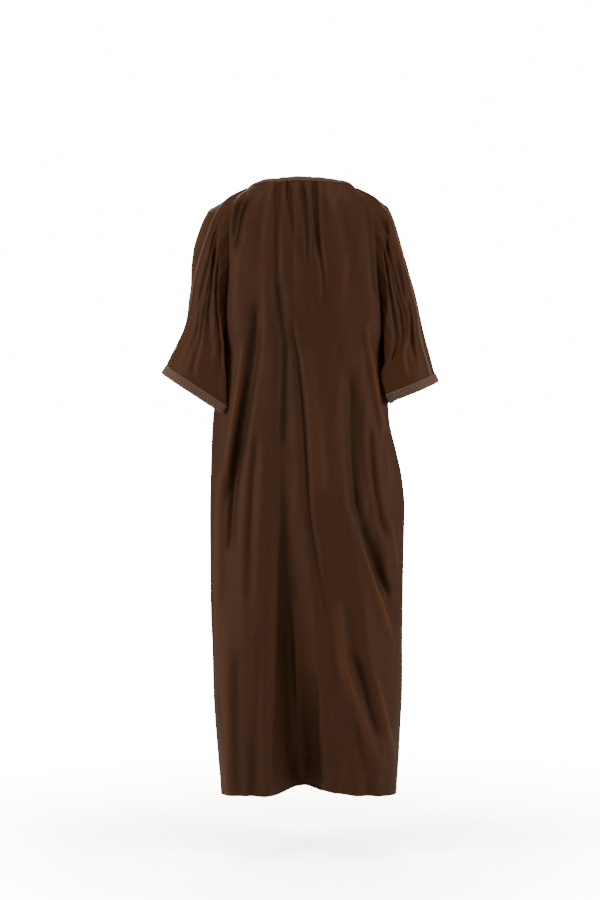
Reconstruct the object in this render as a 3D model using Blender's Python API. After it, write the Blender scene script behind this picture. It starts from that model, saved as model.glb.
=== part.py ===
"""Djellaba robe: a long raglan-sleeved robe with braid trims, in the form in which it is worn.

Metres, +Z up. The front of the robe faces -Y and the wearer's left is +X. The origin is the
middle of the neck opening, at the height of the neck end of the shoulders.
"""
import math
from collections import namedtuple

import bmesh
import bpy
import numpy as np

CLOTH_WALL = 0.0015
SEAM_GAP = 0.0003
BRAID_THICKNESS = 0.0012
BRAID_LIFT = 0.0004
SHOULDER_BRAID_LIFT = 0.0024
NECKBAND_LIFT = 0.0009
NECKBAND_WIDTH = 0.011
SHOULDER_BRAID_WIDTH = 0.013
CUFF_BAND_WIDTH = 0.021
CUFF_ZONE = 0.024

SLIT_TOP = -0.570
SLIT_BOTTOM = -0.735
SLIT_HALF_GAP = 0.005
SLIT_ROUNDNESS = 0.7

BACK_COLUMNS = 40
FRONT_COLUMNS = 32
ROWS_ABOVE_UNDERARM = 11
ROWS_BELOW_UNDERARM = 20
SLEEVE_ROWS = 13
TOP_OF_SLEEVE = ROWS_ABOVE_UNDERARM + 1
DENSE = 241
VALLEY = 0.17

CLOTH_COLOUR = (67, 39, 27)
BRAID_COLOUR = (101, 78, 64)
CLOTH_ROUGHNESS = 0.85
BRAID_ROUGHNESS = 0.70

# A section is half of a rounded outline, from the left edge of a panel to its right edge.
Section = namedtuple("Section", "edge_z left_x right_x edge_y mid_z mid_y squareness")
Lower = namedtuple("Lower", "edge_z mid_z left_x right_x back_y front_y squareness")

UPPER_BACK = (
    Section(-0.004, 0.112, -0.112, 0.016, 0.016, 0.070, 2.0),
    Section(-0.017, 0.132, -0.131, 0.034, -0.012, 0.086, 2.1),
    Section(-0.050, 0.156, -0.151, 0.054, -0.047, 0.104, 2.4),
    Section(-0.108, 0.161, -0.163, 0.069, -0.105, 0.122, 2.7),
    Section(-0.176, 0.160, -0.167, 0.074, -0.174, 0.130, 2.8),
    Section(-0.250, 0.164, -0.172, 0.068, -0.249, 0.127, 2.8),
    Section(-0.322, 0.170, -0.180, 0.047, -0.322, 0.121, 2.6),
)
UPPER_FRONT = (
    Section(-0.004, 0.112, -0.112, -0.016, -0.072, -0.066, 2.0),
    Section(-0.017, 0.132, -0.131, -0.034, -0.100, -0.087, 2.1),
    Section(-0.050, 0.156, -0.151, -0.053, -0.131, -0.106, 2.4),
    Section(-0.108, 0.160, -0.162, -0.067, -0.170, -0.121, 2.7),
    Section(-0.176, 0.160, -0.167, -0.073, -0.217, -0.130, 2.8),
    Section(-0.250, 0.164, -0.172, -0.067, -0.272, -0.133, 2.8),
    Section(-0.322, 0.170, -0.180, -0.047, -0.331, -0.132, 2.6),
)
# Below the underarm the two panels meet at the side seams, at y = 0.
LOWER = (
    Lower(-0.385, -0.385, 0.183, -0.184, 0.118, -0.130, 2.40),
    Lower(-0.450, -0.450, 0.191, -0.186, 0.116, -0.128, 2.35),
    Lower(-0.523, -0.523, 0.199, -0.192, 0.116, -0.127, 2.30),
    Lower(-0.590, -0.590, 0.203, -0.212, 0.120, -0.127, 2.30),
    Lower(-0.658, -0.658, 0.205, -0.226, 0.126, -0.126, 2.30),
    Lower(-0.725, -0.725, 0.206, -0.231, 0.131, -0.125, 2.30),
    Lower(-0.860, -0.860, 0.205, -0.229, 0.134, -0.125, 2.30),
    Lower(-1.028, -1.026, 0.201, -0.227, 0.136, -0.127, 2.30),
    Lower(-1.131, -1.126, 0.199, -0.226, 0.138, -0.130, 2.30),
    Lower(-1.270, -1.261, 0.189, -0.220, 0.141, -0.135, 2.30),
    Lower(-1.364, -1.351, 0.181, -0.214, 0.143, -0.139, 2.30),
)
UNDERARM_ROW = len(UPPER_BACK)

# A trough has positive depths and a ridge has negative ones.
Fold = namedtuple("Fold", "top bottom x_top x_bottom bow deep_top deep_bottom wide_top wide_bottom growth")
BACK_FOLDS = (
    Fold(-0.380, -1.400, 0.044, -0.007, 0.010, 0.000, 0.126, 0.0220, 0.050, 1.8),
    Fold(-0.820, -1.400, -0.070, -0.082, 0.000, 0.000, 0.032, 0.0300, 0.042, 1.0),
    Fold(-0.310, -0.960, 0.108, 0.168, 0.006, 0.007, 0.005, 0.0130, 0.015, 1.0),
    Fold(-0.400, -1.010, -0.108, -0.204, 0.010, 0.006, 0.009, 0.0140, 0.016, 1.0),
    Fold(-0.690, -1.320, -0.108, -0.190, 0.004, -0.004, -0.010, 0.0160, 0.020, 1.0),
    Fold(-0.900, -1.400, -0.104, -0.152, 0.006, 0.003, 0.012, 0.0130, 0.017, 1.0),
    Fold(-0.980, -1.400, 0.120, 0.110, 0.000, 0.002, 0.012, 0.0180, 0.020, 1.0),
    Fold(0.040, -0.260, 0.052, 0.056, 0.000, 0.004, 0.001, 0.0065, 0.010, 1.0),
    Fold(0.040, -0.240, 0.028, 0.010, 0.002, 0.004, 0.001, 0.0065, 0.010, 1.0),
    Fold(0.040, -0.180, 0.002, -0.014, 0.001, 0.003, 0.001, 0.0065, 0.009, 1.0),
    Fold(0.040, -0.220, -0.030, -0.042, 0.002, 0.004, 0.001, 0.0065, 0.010, 1.0),
    Fold(0.040, -0.160, -0.056, -0.060, 0.000, 0.003, 0.001, 0.0065, 0.009, 1.0),
)
FRONT_FOLDS = (
    Fold(-0.420, -1.400, -0.012, -0.022, 0.010, 0.000, 0.046, 0.0240, 0.040, 1.5),
    Fold(-0.340, -1.400, 0.092, 0.106, 0.012, 0.004, 0.026, 0.0160, 0.026, 1.0),
    Fold(-0.300, -1.400, -0.100, -0.130, 0.008, 0.004, 0.024, 0.0160, 0.024, 1.0),
    Fold(-0.700, -1.400, 0.046, 0.054, 0.000, -0.002, -0.014, 0.0180, 0.024, 1.0),
    Fold(-0.640, -1.400, -0.066, -0.078, 0.004, -0.002, -0.013, 0.0180, 0.022, 1.0),
    Fold(-0.030, -0.250, 0.056, 0.066, 0.000, 0.003, 0.001, 0.0065, 0.011, 1.0),
    Fold(-0.050, -0.270, 0.022, 0.026, 0.000, 0.003, 0.001, 0.0065, 0.010, 1.0),
    Fold(-0.050, -0.260, -0.020, -0.028, 0.000, 0.003, 0.001, 0.0065, 0.010, 1.0),
    Fold(-0.030, -0.240, -0.058, -0.070, 0.000, 0.003, 0.001, 0.0065, 0.011, 1.0),
)
FOLD_START = 0.06
FOLD_END = 0.05
FOLD_EDGE_FADE = 0.10

# Where the cloth slants inwards near the hem, the hem rises, since the cloth keeps its length.
HEM_RISE = 0.10
HEM_RISE_TOP = -0.6
HEM_RISE_SPAN = 0.7

# A sleeve ring runs from its lowest point up over the back, to the top, and down the front. The
# tuck and the drop are how far its lower back hangs inwards, over the side of the body, and down.
# The turn is how far the sleeve is twisted, so that its braid lies behind the ring's top.
RING_NAMES = "top_x top_y top_z low_x low_y low_z back_bulge front_bulge squareness tuck drop turn"
Ring = namedtuple("Ring", RING_NAMES)
LEFT_SLEEVE = (
    Ring(0.210, -0.008, -0.058, 0.191, 0.012, -0.402, 0.083, 0.078, 2.4, 0.020, 0.000, 0.082),
    Ring(0.239, -0.015, -0.140, 0.195, 0.018, -0.412, 0.081, 0.074, 2.4, 0.033, 0.000, 0.092),
    Ring(0.251, -0.010, -0.246, 0.198, 0.021, -0.424, 0.077, 0.072, 2.5, 0.039, 0.004, 0.058),
    Ring(0.262, -0.002, -0.318, 0.200, 0.022, -0.437, 0.073, 0.070, 2.5, 0.046, 0.012, 0.006),
    Ring(0.314, 0.000, -0.418, 0.211, 0.022, -0.485, 0.070, 0.064, 2.2, 0.058, 0.038, 0.000),
)
RIGHT_SLEEVE = (
    Ring(-0.199, -0.003, -0.057, -0.191, 0.010, -0.404, 0.078, 0.080, 2.3, 0.010, 0.000, 0.020),
    Ring(-0.226, -0.004, -0.140, -0.193, 0.014, -0.416, 0.073, 0.078, 2.4, 0.018, 0.000, 0.020),
    Ring(-0.256, -0.004, -0.246, -0.194, 0.016, -0.428, 0.071, 0.075, 2.4, 0.022, 0.002, 0.022),
    Ring(-0.274, -0.003, -0.328, -0.195, 0.018, -0.440, 0.070, 0.074, 2.3, 0.028, 0.004, 0.035),
    Ring(-0.308, -0.002, -0.437, -0.200, 0.022, -0.4855, 0.070, 0.072, 2.1, 0.028, 0.009, 0.035),
)
HANG_START = 0.35
HANG_SPAN = 1.4
SHOULDER_BLENDS = ((0.50, 0.25), (0.78, 0.65))
SHOULDER_RISE = 0.008
SHOULDER_RISE_WIDTH = 0.060
NECK_END_RISE = 0.002

# How far the middle of each shoulder braid lies behind the top of its sleeve, at shares of the
# way from the neck to the cuff.
BRAID_SHIFTS = {
    "left": ((0.00, 0.000), (0.05, 0.013), (0.10, 0.017), (0.135, 0.014), (0.18, 0.000)),
    "right": ((0.00, 0.000), (0.05, 0.014), (0.12, 0.021), (0.17, 0.018), (0.28, 0.022),
              (0.54, 0.022), (0.64, 0.014), (1.00, 0.010)),
}
BRAID_REACH = 3
# They leave the neckband at a slant, and start further from it for that.
BRAID_SLANT = 1.2

# Along a sleeve 0 is the armhole and 1 the cuff; round it 0 is the underarm and 0.5 the top.
SleeveFold = namedtuple("SleeveFold", "start end start_round end_round deep wide")
LEFT_SLEEVE_FOLDS = (
    SleeveFold(0.15, 0.75, 0.37, 0.28, 0.008, 0.028),
    SleeveFold(0.40, 1.00, 0.40, 0.34, 0.004, 0.028),
    SleeveFold(0.10, 0.90, 0.72, 0.88, 0.010, 0.032),
    SleeveFold(0.30, 1.00, 0.62, 0.70, 0.005, 0.030),
)
RIGHT_SLEEVE_FOLDS = (
    SleeveFold(0.15, 0.80, 0.37, 0.28, 0.008, 0.028),
    SleeveFold(0.40, 1.00, 0.42, 0.35, 0.004, 0.026),
    SleeveFold(0.10, 0.90, 0.70, 0.86, 0.010, 0.032),
    SleeveFold(0.30, 1.00, 0.60, 0.68, 0.005, 0.028),
)
SLEEVE_FOLD_FADE = 0.15

Piece = namedtuple("Piece", "grid normals")


def clear_scene():
    """Remove what the file starts with."""
    for item in list(bpy.data.objects):
        bpy.data.objects.remove(item)


def linear(colour):
    """Turn a 0 to 255 screen colour into the linear values that a shader takes."""
    parts = [channel / 255.0 for channel in colour]
    return tuple(p / 12.92 if p <= 0.04045 else ((p + 0.055) / 1.055) ** 2.4 for p in parts)


def fabric(name, colour, roughness):
    """Make a plain Principled material."""
    made = bpy.data.materials.new(name)
    made.use_nodes = True
    shader = made.node_tree.nodes["Principled BSDF"]
    shader.inputs["Base Color"].default_value = (*linear(colour), 1.0)
    shader.inputs["Roughness"].default_value = roughness
    shader.inputs["Metallic"].default_value = 0.0
    return made


def unit(vectors):
    """Scale vectors to a length of one."""
    size = np.linalg.norm(vectors, axis=-1, keepdims=True)
    return vectors / np.maximum(size, 1e-12)


def running_length(points):
    """Give the length of a line of points up to each of them."""
    steps = np.linalg.norm(np.diff(points, axis=0), axis=1)
    return np.concatenate(([0.0], np.cumsum(steps)))


def read_at(values, length, distances):
    """Read values that belong to the points of a line at distances from its start."""
    return np.column_stack([np.interp(distances, length, values[:, axis]) for axis in range(3)])


def at_lengths(points, distances):
    """Give the points of a line at distances from its start."""
    return read_at(points, running_length(points), distances)


def spread(points, trim, fractions):
    """Place points along a line at fractions of its length, less a trim at each end."""
    total = running_length(points)[-1]
    return at_lengths(points, trim + (total - 2 * trim) * fractions)


def at_length(points, distance):
    """Give the point of a line at a distance from its start."""
    length = running_length(points)
    return np.array([np.interp(distance, length, points[:, axis]) for axis in range(3)])


def steady_slopes(values):
    """Give slopes for a smooth curve through rows of values that never overshoots them."""
    steps = np.diff(values, axis=0)
    slopes = np.zeros_like(values)
    product = steps[:-1] * steps[1:]
    total = steps[:-1] + steps[1:]
    safe = np.where(np.abs(total) < 1e-12, 1.0, total)
    slopes[1:-1] = np.where(product > 0, 2.0 * product / safe, 0.0)
    slopes[0] = steps[0]
    slopes[-1] = steps[-1]
    return slopes


def between_rows(values, slopes, position):
    """Read a smooth curve through equally spaced rows of values at a fractional row."""
    row = int(min(math.floor(position), len(values) - 2))
    t = position - row
    rise = 3 * t * t - 2 * t * t * t
    leaving = t * (1 - t) * (1 - t)
    arriving = t * t * (t - 1)
    span = values[row + 1] - values[row]
    return values[row] + span * rise + slopes[row] * leaving + slopes[row + 1] * arriving


def panel_table(upper, middle_name):
    """Join the upper sections of a panel with the lower ones, as rows of one table."""
    rows = [list(section) for section in upper]
    for low in LOWER:
        middle = getattr(low, middle_name)
        rows.append([low.edge_z, low.left_x, low.right_x, 0.0, low.mid_z, middle, low.squareness])
    return np.array(rows)


def row_positions(table):
    """Spread the rows of the body evenly above the underarm and evenly below it."""
    slopes = steady_slopes(table)
    positions = [0.0]
    for first, last, count in (
        (0, UNDERARM_ROW, ROWS_ABOVE_UNDERARM),
        (UNDERARM_ROW, len(table) - 1, ROWS_BELOW_UNDERARM),
    ):
        dense = np.linspace(first, last, DENSE)
        read = np.array([between_rows(table, slopes, position) for position in dense])
        edge = running_length(read[:, [1, 3, 0]])
        middle = running_length(read[:, [5, 4]])
        length = edge + middle
        even = np.interp(np.linspace(0.0, length[-1], count + 1), length, dense)
        positions.extend(even[1:])
    return positions


def fold_depth(folds, x, z):
    """Add up the depths of all folds at points of a panel."""
    depth = np.zeros_like(x)
    for fold in folds:
        t = np.clip((fold.top - z) / (fold.top - fold.bottom), 0.0, 1.0)
        centre = fold.x_top + (fold.x_bottom - fold.x_top) * t + fold.bow * np.sin(math.pi * t)
        deep = fold.deep_top + (fold.deep_bottom - fold.deep_top) * t ** fold.growth
        wide = fold.wide_top + (fold.wide_bottom - fold.wide_top) * t
        ends = np.minimum((fold.top - z) / FOLD_START, (z - fold.bottom) / FOLD_END)
        depth += deep * np.clip(ends, 0.0, 1.0) * np.exp(-(((x - centre) / wide) ** 2))
    return depth


def panel_section(row, folds, side):
    """Give the dense outline of a panel at one row, from its left edge to its right edge."""
    edge_z, left_x, right_x, edge_y, mid_z, mid_y, squareness = row
    angle = np.linspace(0.0, math.pi, DENSE)
    power = 2.0 / squareness
    across = np.sign(np.cos(angle)) * np.abs(np.cos(angle)) ** power
    inward = np.abs(np.sin(angle)) ** power
    x = (left_x + right_x) / 2 + (left_x - right_x) / 2 * across
    y = edge_y + (mid_y - edge_y) * inward
    z = edge_z + (mid_z - edge_z) * inward
    fade = np.clip((1.0 - np.abs(across)) / FOLD_EDGE_FADE, 0.0, 1.0)
    depth = fold_depth(folds, x, z) * fade * fade * (3.0 - 2.0 * fade)
    near_hem = np.clip((HEM_RISE_TOP - z) / HEM_RISE_SPAN, 0.0, 1.0)
    rise = HEM_RISE * near_hem * np.clip(depth, 0.0, None)
    return np.column_stack((x, y - side * depth, z + rise))


def slit_gap(height):
    """Give how far a hand slit opens a side seam on each side of it, at one height."""
    t = (SLIT_TOP - height) / (SLIT_TOP - SLIT_BOTTOM)
    if t <= 0.0 or t >= 1.0:
        return 0.0
    return SLIT_HALF_GAP * math.sin(math.pi * t) ** SLIT_ROUNDNESS


def panel_grid(upper, middle_name, folds, side, columns):
    """Give the outer face of a panel as rows of points, top row first."""
    table = panel_table(upper, middle_name)
    slopes = steady_slopes(table)
    fractions = np.linspace(0.0, 1.0, columns + 1)
    rows = []
    for position in row_positions(panel_table(UPPER_BACK, "back_y")):
        outline = panel_section(between_rows(table, slopes, position), folds, side)
        trim = SEAM_GAP / 2 + slit_gap(outline[0][2])
        rows.append(spread(outline, trim, fractions))
    return np.array(rows)


def outward_normals(grid, closed, centre_line):
    """Give unit normals of a grid of points, away from the line down the middle of the piece."""
    down = np.gradient(grid, axis=0)
    if closed:
        along = (np.roll(grid, -1, axis=1) - np.roll(grid, 1, axis=1)) / 2
    else:
        along = np.gradient(grid, axis=1)
    normals = unit(np.cross(along, down))
    facing = np.sum(normals * (grid - centre_line), axis=2)
    return normals if np.sum(np.sign(facing)) > 0 else -normals


def armhole_ring(back, front, left):
    """Give a row of values round an armhole: up the back, over the neck and down the front."""
    edge = 0 if left else -1
    last = ROWS_ABOVE_UNDERARM
    up_back = [back[row, edge] for row in range(last, -1, -1)]
    down_front = [front[row, edge] for row in range(last + 1)]
    up_back[0] = (back[last, edge] + front[last, edge]) / 2
    top = (up_back[-1] + down_front[0]) / 2
    return np.array(up_back + [top] + down_front[:-1])


def ring_lengths(ring):
    """Give the length round a ring up to each of its points, and last the whole length."""
    return running_length(np.vstack((ring, ring[:1])))


def ring_fractions(seam, weight):
    """Blend the spacing of an armhole seam with an even spacing, by a weight from 0 to 1."""
    count = len(seam)
    half = count // 2
    length = ring_lengths(seam)
    up = length[: half + 1] / length[half]
    down = 1.0 - (length[half + 1: count] - length[half]) / (length[-1] - length[half])
    own = np.concatenate((up, down))
    even = 1.0 - np.abs(np.arange(count) / half - 1.0)
    return own + (even - own) * weight


def round_fractions(ring):
    """Give where each point of a ring lies round it: 0 at the underarm and 0.5 at the top."""
    half = len(ring) // 2
    length = ring_lengths(ring)
    first = 0.5 * length[: half + 1] / length[half]
    second = 0.5 + 0.5 * (length[half + 1: -1] - length[half]) / (length[-1] - length[half])
    return np.concatenate((first, second))


def ring_points(ring, fractions):
    """Give the points of a sleeve ring at fractions of the way from its lowest point to its top."""
    top = np.array((ring.top_x, ring.top_y, ring.top_z))
    low = np.array((ring.low_x, ring.low_y, ring.low_z))
    angle = np.linspace(0.0, math.pi, DENSE)[:, None]
    power = 2.0 / ring.squareness
    rise = -np.sign(np.cos(angle)) * np.abs(np.cos(angle)) ** power
    out = np.abs(np.sin(angle)) ** power * np.array((0.0, 1.0, 0.0))
    middle = (top + low) / 2 + rise * (top - low) / 2
    hang = np.sin(math.pi * np.clip((angle - HANG_START) / HANG_SPAN, 0.0, 1.0)) ** 2
    inwards = np.array((-math.copysign(ring.tuck, ring.top_x), 0.0, -ring.drop))
    over_back = middle + out * ring.back_bulge + hang * inwards
    over_front = middle - out * ring.front_bulge
    outline = np.vstack((over_back, over_front[-2::-1]))
    total = running_length(outline)[-1]
    split = running_length(over_back)[-1] - ring.turn
    half = len(fractions) // 2
    first = split * fractions[: half + 1]
    second = total - (total - split) * fractions[half + 1:]
    return at_lengths(outline, np.concatenate((first, second)))


def shoulder_rings(seam, first, fractions):
    """Give the rings between the armhole seam and the arm's first ring, raised at the top.

    Each is a blend of the two, with its own share of the first ring's turn.
    """
    rings = []
    for share, turn_share in SHOULDER_BLENDS:
        arm = ring_points(first._replace(turn=first.turn * turn_share), fractions)
        ring = seam + (arm - seam) * share
        below = ring[:, 2].max() - ring[:, 2]
        rise = SHOULDER_RISE * 4.0 * share * (1.0 - share)
        ring[:, 2] += rise * np.exp(-((below / SHOULDER_RISE_WIDTH) ** 2))
        rings.append(ring)
    return rings


def sleeve_fold_depth(folds, grid):
    """Give the depth of the sleeve folds at each point of a sleeve grid."""
    along = np.append(np.linspace(0.0, 1.0, len(grid) - 1), 1.0)[:, None]
    around = np.array([round_fractions(ring) for ring in grid])
    depth = np.zeros_like(around)
    for fold in folds:
        t = np.clip((along - fold.start) / (fold.end - fold.start), 0.0, 1.0)
        centre = fold.start_round + (fold.end_round - fold.start_round) * t
        ends = np.minimum(along - fold.start, fold.end - along) / SLEEVE_FOLD_FADE
        depth += fold.deep * np.clip(ends, 0.0, 1.0) * np.exp(-(((around - centre) / fold.wide) ** 2))
    return depth


def sleeve_grid(seam, rings, folds):
    """Give the outer face of a sleeve as rings of points, from the armhole seam to the cuff."""
    controls = [seam] + shoulder_rings(seam, rings[0], ring_fractions(seam, 1.0 / len(rings)))
    for index, ring in enumerate(rings):
        weight = (index + 1) / len(rings)
        controls.append(ring_points(ring, ring_fractions(seam, weight)))
    end = controls[-1]
    last = rings[-1]
    chord = (last.top_x - last.low_x, last.top_y - last.low_y, last.top_z - last.low_z)
    axis = unit(np.cross(chord, (0.0, 1.0, 0.0)))
    controls[-1] = end + axis * CUFF_ZONE * np.sign(axis[2])
    controls = np.array(controls)
    slopes = np.gradient(controls, axis=0)
    positions = np.linspace(0.0, len(controls) - 1, SLEEVE_ROWS + 1)
    grid = np.array([between_rows(controls, slopes, position) for position in positions] + [end])
    normals = outward_normals(grid, True, grid.mean(axis=1, keepdims=True))
    return grid - normals * sleeve_fold_depth(folds, grid)[:, :, None]


def join_at_armhole(left, sleeve, back, front):
    """Part a sleeve from the panels by the seam's gap, and mitre the walls where they need it.

    In a valley the walls part by themselves. Elsewhere both walls take one shared normal.
    """
    panel_normals = unit(armhole_ring(back.normals, front.normals, left))
    away = unit(sleeve.grid[1] - sleeve.grid[0])
    flat = np.sum(away * panel_normals, axis=1) < VALLEY
    shared = unit(sleeve.normals[0] + panel_normals)
    sleeve.normals[0] = np.where(flat[:, None], shared, sleeve.normals[0])
    edge = 0 if left else -1
    for row in range(ROWS_ABOVE_UNDERARM + 1):
        up_back = ROWS_ABOVE_UNDERARM - row
        down_front = (TOP_OF_SLEEVE + 1 + row) % len(flat)
        if flat[up_back]:
            back.normals[row, edge] = shared[up_back]
        if flat[down_front]:
            front.normals[row, edge] = shared[down_front]
    sleeve.grid[0] += (away + panel_normals) * SEAM_GAP


def add_vertices(build, grid):
    """Add a grid of points to a mesh as vertices."""
    return [[build.verts.new(point) for point in row] for row in grid]


def wall_mesh(name, outer, inner, closed):
    """Make a closed wall from matching grids of points.

    Its outside and inside are lofted together, so that neighbours can share a mitre at a seam.
    """
    rows, columns = outer.shape[:2]
    spans = columns if closed else columns - 1
    build = bmesh.new()
    outside = add_vertices(build, outer)
    inside = add_vertices(build, inner)
    for row in range(rows - 1):
        for column in range(spans):
            beside = (column + 1) % columns
            corners = ((row, column), (row, beside), (row + 1, beside), (row + 1, column))
            build.faces.new([outside[r][c] for r, c in corners])
            build.faces.new([inside[r][c] for r, c in reversed(corners)])
    for row in (0, rows - 1):
        for column in range(spans):
            edge = ((row, column), (row, (column + 1) % columns))
            close_edge(build, outside, inside, edge)
    if not closed:
        for column in (0, columns - 1):
            for row in range(rows - 1):
                close_edge(build, outside, inside, ((row, column), (row + 1, column)))
    bmesh.ops.recalc_face_normals(build, faces=build.faces)
    bmesh.ops.triangulate(build, faces=build.faces)
    mesh = bpy.data.meshes.new(name)
    build.to_mesh(mesh)
    build.free()
    mesh.shade_smooth()
    return mesh


def close_edge(build, outside, inside, edge):
    """Join the outside of a wall to its inside along one edge."""
    (row, column), (next_row, next_column) = edge
    build.faces.new((
        outside[row][column],
        outside[next_row][next_column],
        inside[next_row][next_column],
        inside[row][column],
    ))


def cloth_wall(name, piece, closed):
    """Make the wall of a panel or a sleeve, which grows inwards from its outer face."""
    return wall_mesh(name, piece.grid, piece.grid - piece.normals * CLOTH_WALL, closed)


def braid_wall(name, rows, normals, lift, closed):
    """Make a braid that lies on the cloth: a thin wall raised from rows of points on it."""
    return wall_mesh(name, rows + normals * (lift + BRAID_THICKNESS), rows + normals * lift, closed)


def neckband_mesh(name, back, front, sleeve_left, sleeve_right):
    """Make the braid round the neck, on the upper edges of the panels and the sleeves."""
    top = TOP_OF_SLEEVE
    threads = [(back, column) for column in range(BACK_COLUMNS + 1)]
    threads += [(sleeve_right, column) for column in (top - 1, top, top + 1)]
    threads += [(front, column) for column in range(FRONT_COLUMNS, -1, -1)]
    threads += [(sleeve_left, column) for column in (top + 1, top, top - 1)]
    normals = unit(np.array([piece.normals[:2, column].mean(axis=0) for piece, column in threads]))
    rows = []
    for depth in (0.0, NECKBAND_WIDTH / 2, NECKBAND_WIDTH):
        rows.append([at_length(piece.grid[:, column], depth) for piece, column in threads])
    return braid_wall(name, np.array(rows), normals, NECKBAND_LIFT, True)


def shoulder_braid_mesh(name, sleeve, shifts):
    """Make the braid down the top of a sleeve, from the neckband to the cuff band."""
    top = TOP_OF_SLEEVE
    share = running_length(sleeve.grid[:, top])
    share /= share[-1]
    shift = np.interp(share, *np.array(shifts).T)
    beside = np.array((-0.5, 0.0, 0.5)) * SHOULDER_BRAID_WIDTH
    rows, normals = [], []
    for row in range(len(share)):
        reach = slice(top - BRAID_REACH, top + BRAID_REACH + 1)
        length = running_length(sleeve.grid[row, reach])
        middle = length[BRAID_REACH] - shift[row]
        rows.append(read_at(sleeve.grid[row, reach], length, middle + beside))
        normals.append(read_at(sleeve.normals[row, reach], length, [middle]))
    lines = np.array(rows).transpose(1, 0, 2)
    for line in lines:
        past_neckband = unit(line[1] - line[0]) * (NECKBAND_WIDTH * BRAID_SLANT + 2 * SEAM_GAP)
        past_cuff_band = unit(line[-2] - line[-1]) * (CUFF_BAND_WIDTH + 2 * SEAM_GAP)
        line[0] += past_neckband
        line[-1] += past_cuff_band
    rows = lines.transpose(1, 0, 2)
    normals = unit(np.array(normals))
    # The end of the braid takes the place of the row just above the cuff band.
    keep = [row for row in range(len(rows)) if row != len(rows) - 2]
    return braid_wall(name, rows[keep], normals[keep], SHOULDER_BRAID_LIFT, False)


def cuff_band_mesh(name, sleeve):
    """Make the wide braid round the end of a sleeve."""
    end = sleeve.grid[-1]
    upper = end + unit(sleeve.grid[-2] - end) * CUFF_BAND_WIDTH
    return braid_wall(name, np.array((upper, end)), sleeve.normals[-1], BRAID_LIFT, True)


def add_piece(collection, name, mesh, colour, roughness):
    """Put a named piece with its own material into the robe's collection."""
    piece = bpy.data.objects.new(name, mesh)
    mesh.materials.append(fabric(name, colour, roughness))
    collection.objects.link(piece)


def make_panel(upper, middle_name, folds, side, columns):
    """Work out the outer face of a panel and its normals."""
    grid = panel_grid(upper, middle_name, folds, side, columns)
    return Piece(grid, outward_normals(grid, False, np.zeros(3)))


def make_sleeve(left, rings, folds, back, front):
    """Work out the outer face of a sleeve and its normals, joined to the panels."""
    seam = armhole_ring(back.grid, front.grid, left)
    seam[TOP_OF_SLEEVE, 2] += NECK_END_RISE
    grid = sleeve_grid(seam, rings, folds)
    sleeve = Piece(grid, outward_normals(grid, True, grid.mean(axis=1, keepdims=True)))
    join_at_armhole(left, sleeve, back, front)
    return sleeve


def main():
    """Build the robe."""
    clear_scene()
    robe = bpy.data.collections.new("djellaba_robe")
    bpy.context.scene.collection.children.link(robe)
    back = make_panel(UPPER_BACK, "back_y", BACK_FOLDS, 1.0, BACK_COLUMNS)
    front = make_panel(UPPER_FRONT, "front_y", FRONT_FOLDS, -1.0, FRONT_COLUMNS)
    sleeves = {
        "left": make_sleeve(True, LEFT_SLEEVE, LEFT_SLEEVE_FOLDS, back, front),
        "right": make_sleeve(False, RIGHT_SLEEVE, RIGHT_SLEEVE_FOLDS, back, front),
    }
    cloth = (CLOTH_COLOUR, CLOTH_ROUGHNESS)
    braid = (BRAID_COLOUR, BRAID_ROUGHNESS)
    add_piece(robe, "back", cloth_wall("back", back, False), *cloth)
    add_piece(robe, "front", cloth_wall("front", front, False), *cloth)
    for side, sleeve in sleeves.items():
        name = "sleeve_" + side
        add_piece(robe, name, cloth_wall(name, sleeve, True), *cloth)
        name = "shoulder_braid_" + side
        add_piece(robe, name, shoulder_braid_mesh(name, sleeve, BRAID_SHIFTS[side]), *braid)
        name = "cuff_band_" + side
        add_piece(robe, name, cuff_band_mesh(name, sleeve), *braid)
    mesh = neckband_mesh("neckband", back, front, sleeves["left"], sleeves["right"])
    add_piece(robe, "neckband", mesh, *braid)


main()
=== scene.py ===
"""Looks of the djellaba robe: fine cloth shells with their creases, braids, stitching and finishes.

Metres, +Z up. The front of the robe faces -Y, and the photograph looks at its back, along -Y.
"""

import math
from collections import namedtuple

import bpy
import numpy as np
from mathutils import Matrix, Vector


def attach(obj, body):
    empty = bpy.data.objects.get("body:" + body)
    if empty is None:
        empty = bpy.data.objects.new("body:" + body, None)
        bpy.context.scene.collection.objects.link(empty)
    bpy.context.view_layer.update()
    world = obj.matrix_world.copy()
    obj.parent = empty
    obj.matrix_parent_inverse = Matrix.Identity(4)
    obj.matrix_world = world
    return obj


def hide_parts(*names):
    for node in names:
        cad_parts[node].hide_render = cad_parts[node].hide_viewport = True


# Sizes that the robe's solids also have.
CLOTH_WALL = 0.0015
NECKBAND_WIDTH = 0.011
SHOULDER_BRAID_WIDTH = 0.013
CUFF_BAND_WIDTH = 0.021
CUFF_ZONE = 0.024
SLIT_TOP = -0.570
SLIT_BOTTOM = -0.735
SLIT_ROUNDNESS = 0.7

# A hand slit is narrower than in the solids. The lap is the share of its gap by which the edge
# that stays whole reaches over the seam.
SLIT_GAP = 0.008
SLIT_LAP = 0.4

# How finely the shells are made.
BACK_COLUMNS = 200
FRONT_COLUMNS = 160
UPPER_ROWS = 72
LOWER_ROWS = 146
SLEEVE_ROWS = 96
CUFF_ROWS = 8
NECK_POINTS = 9
NECK_ROWS = 4
TOP_OF_SLEEVE = UPPER_ROWS + (NECK_POINTS + 1) // 2
DENSE = 601
CREASE_STEPS = 40

# A size below this counts as none.
TINY = 1e-12

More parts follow.
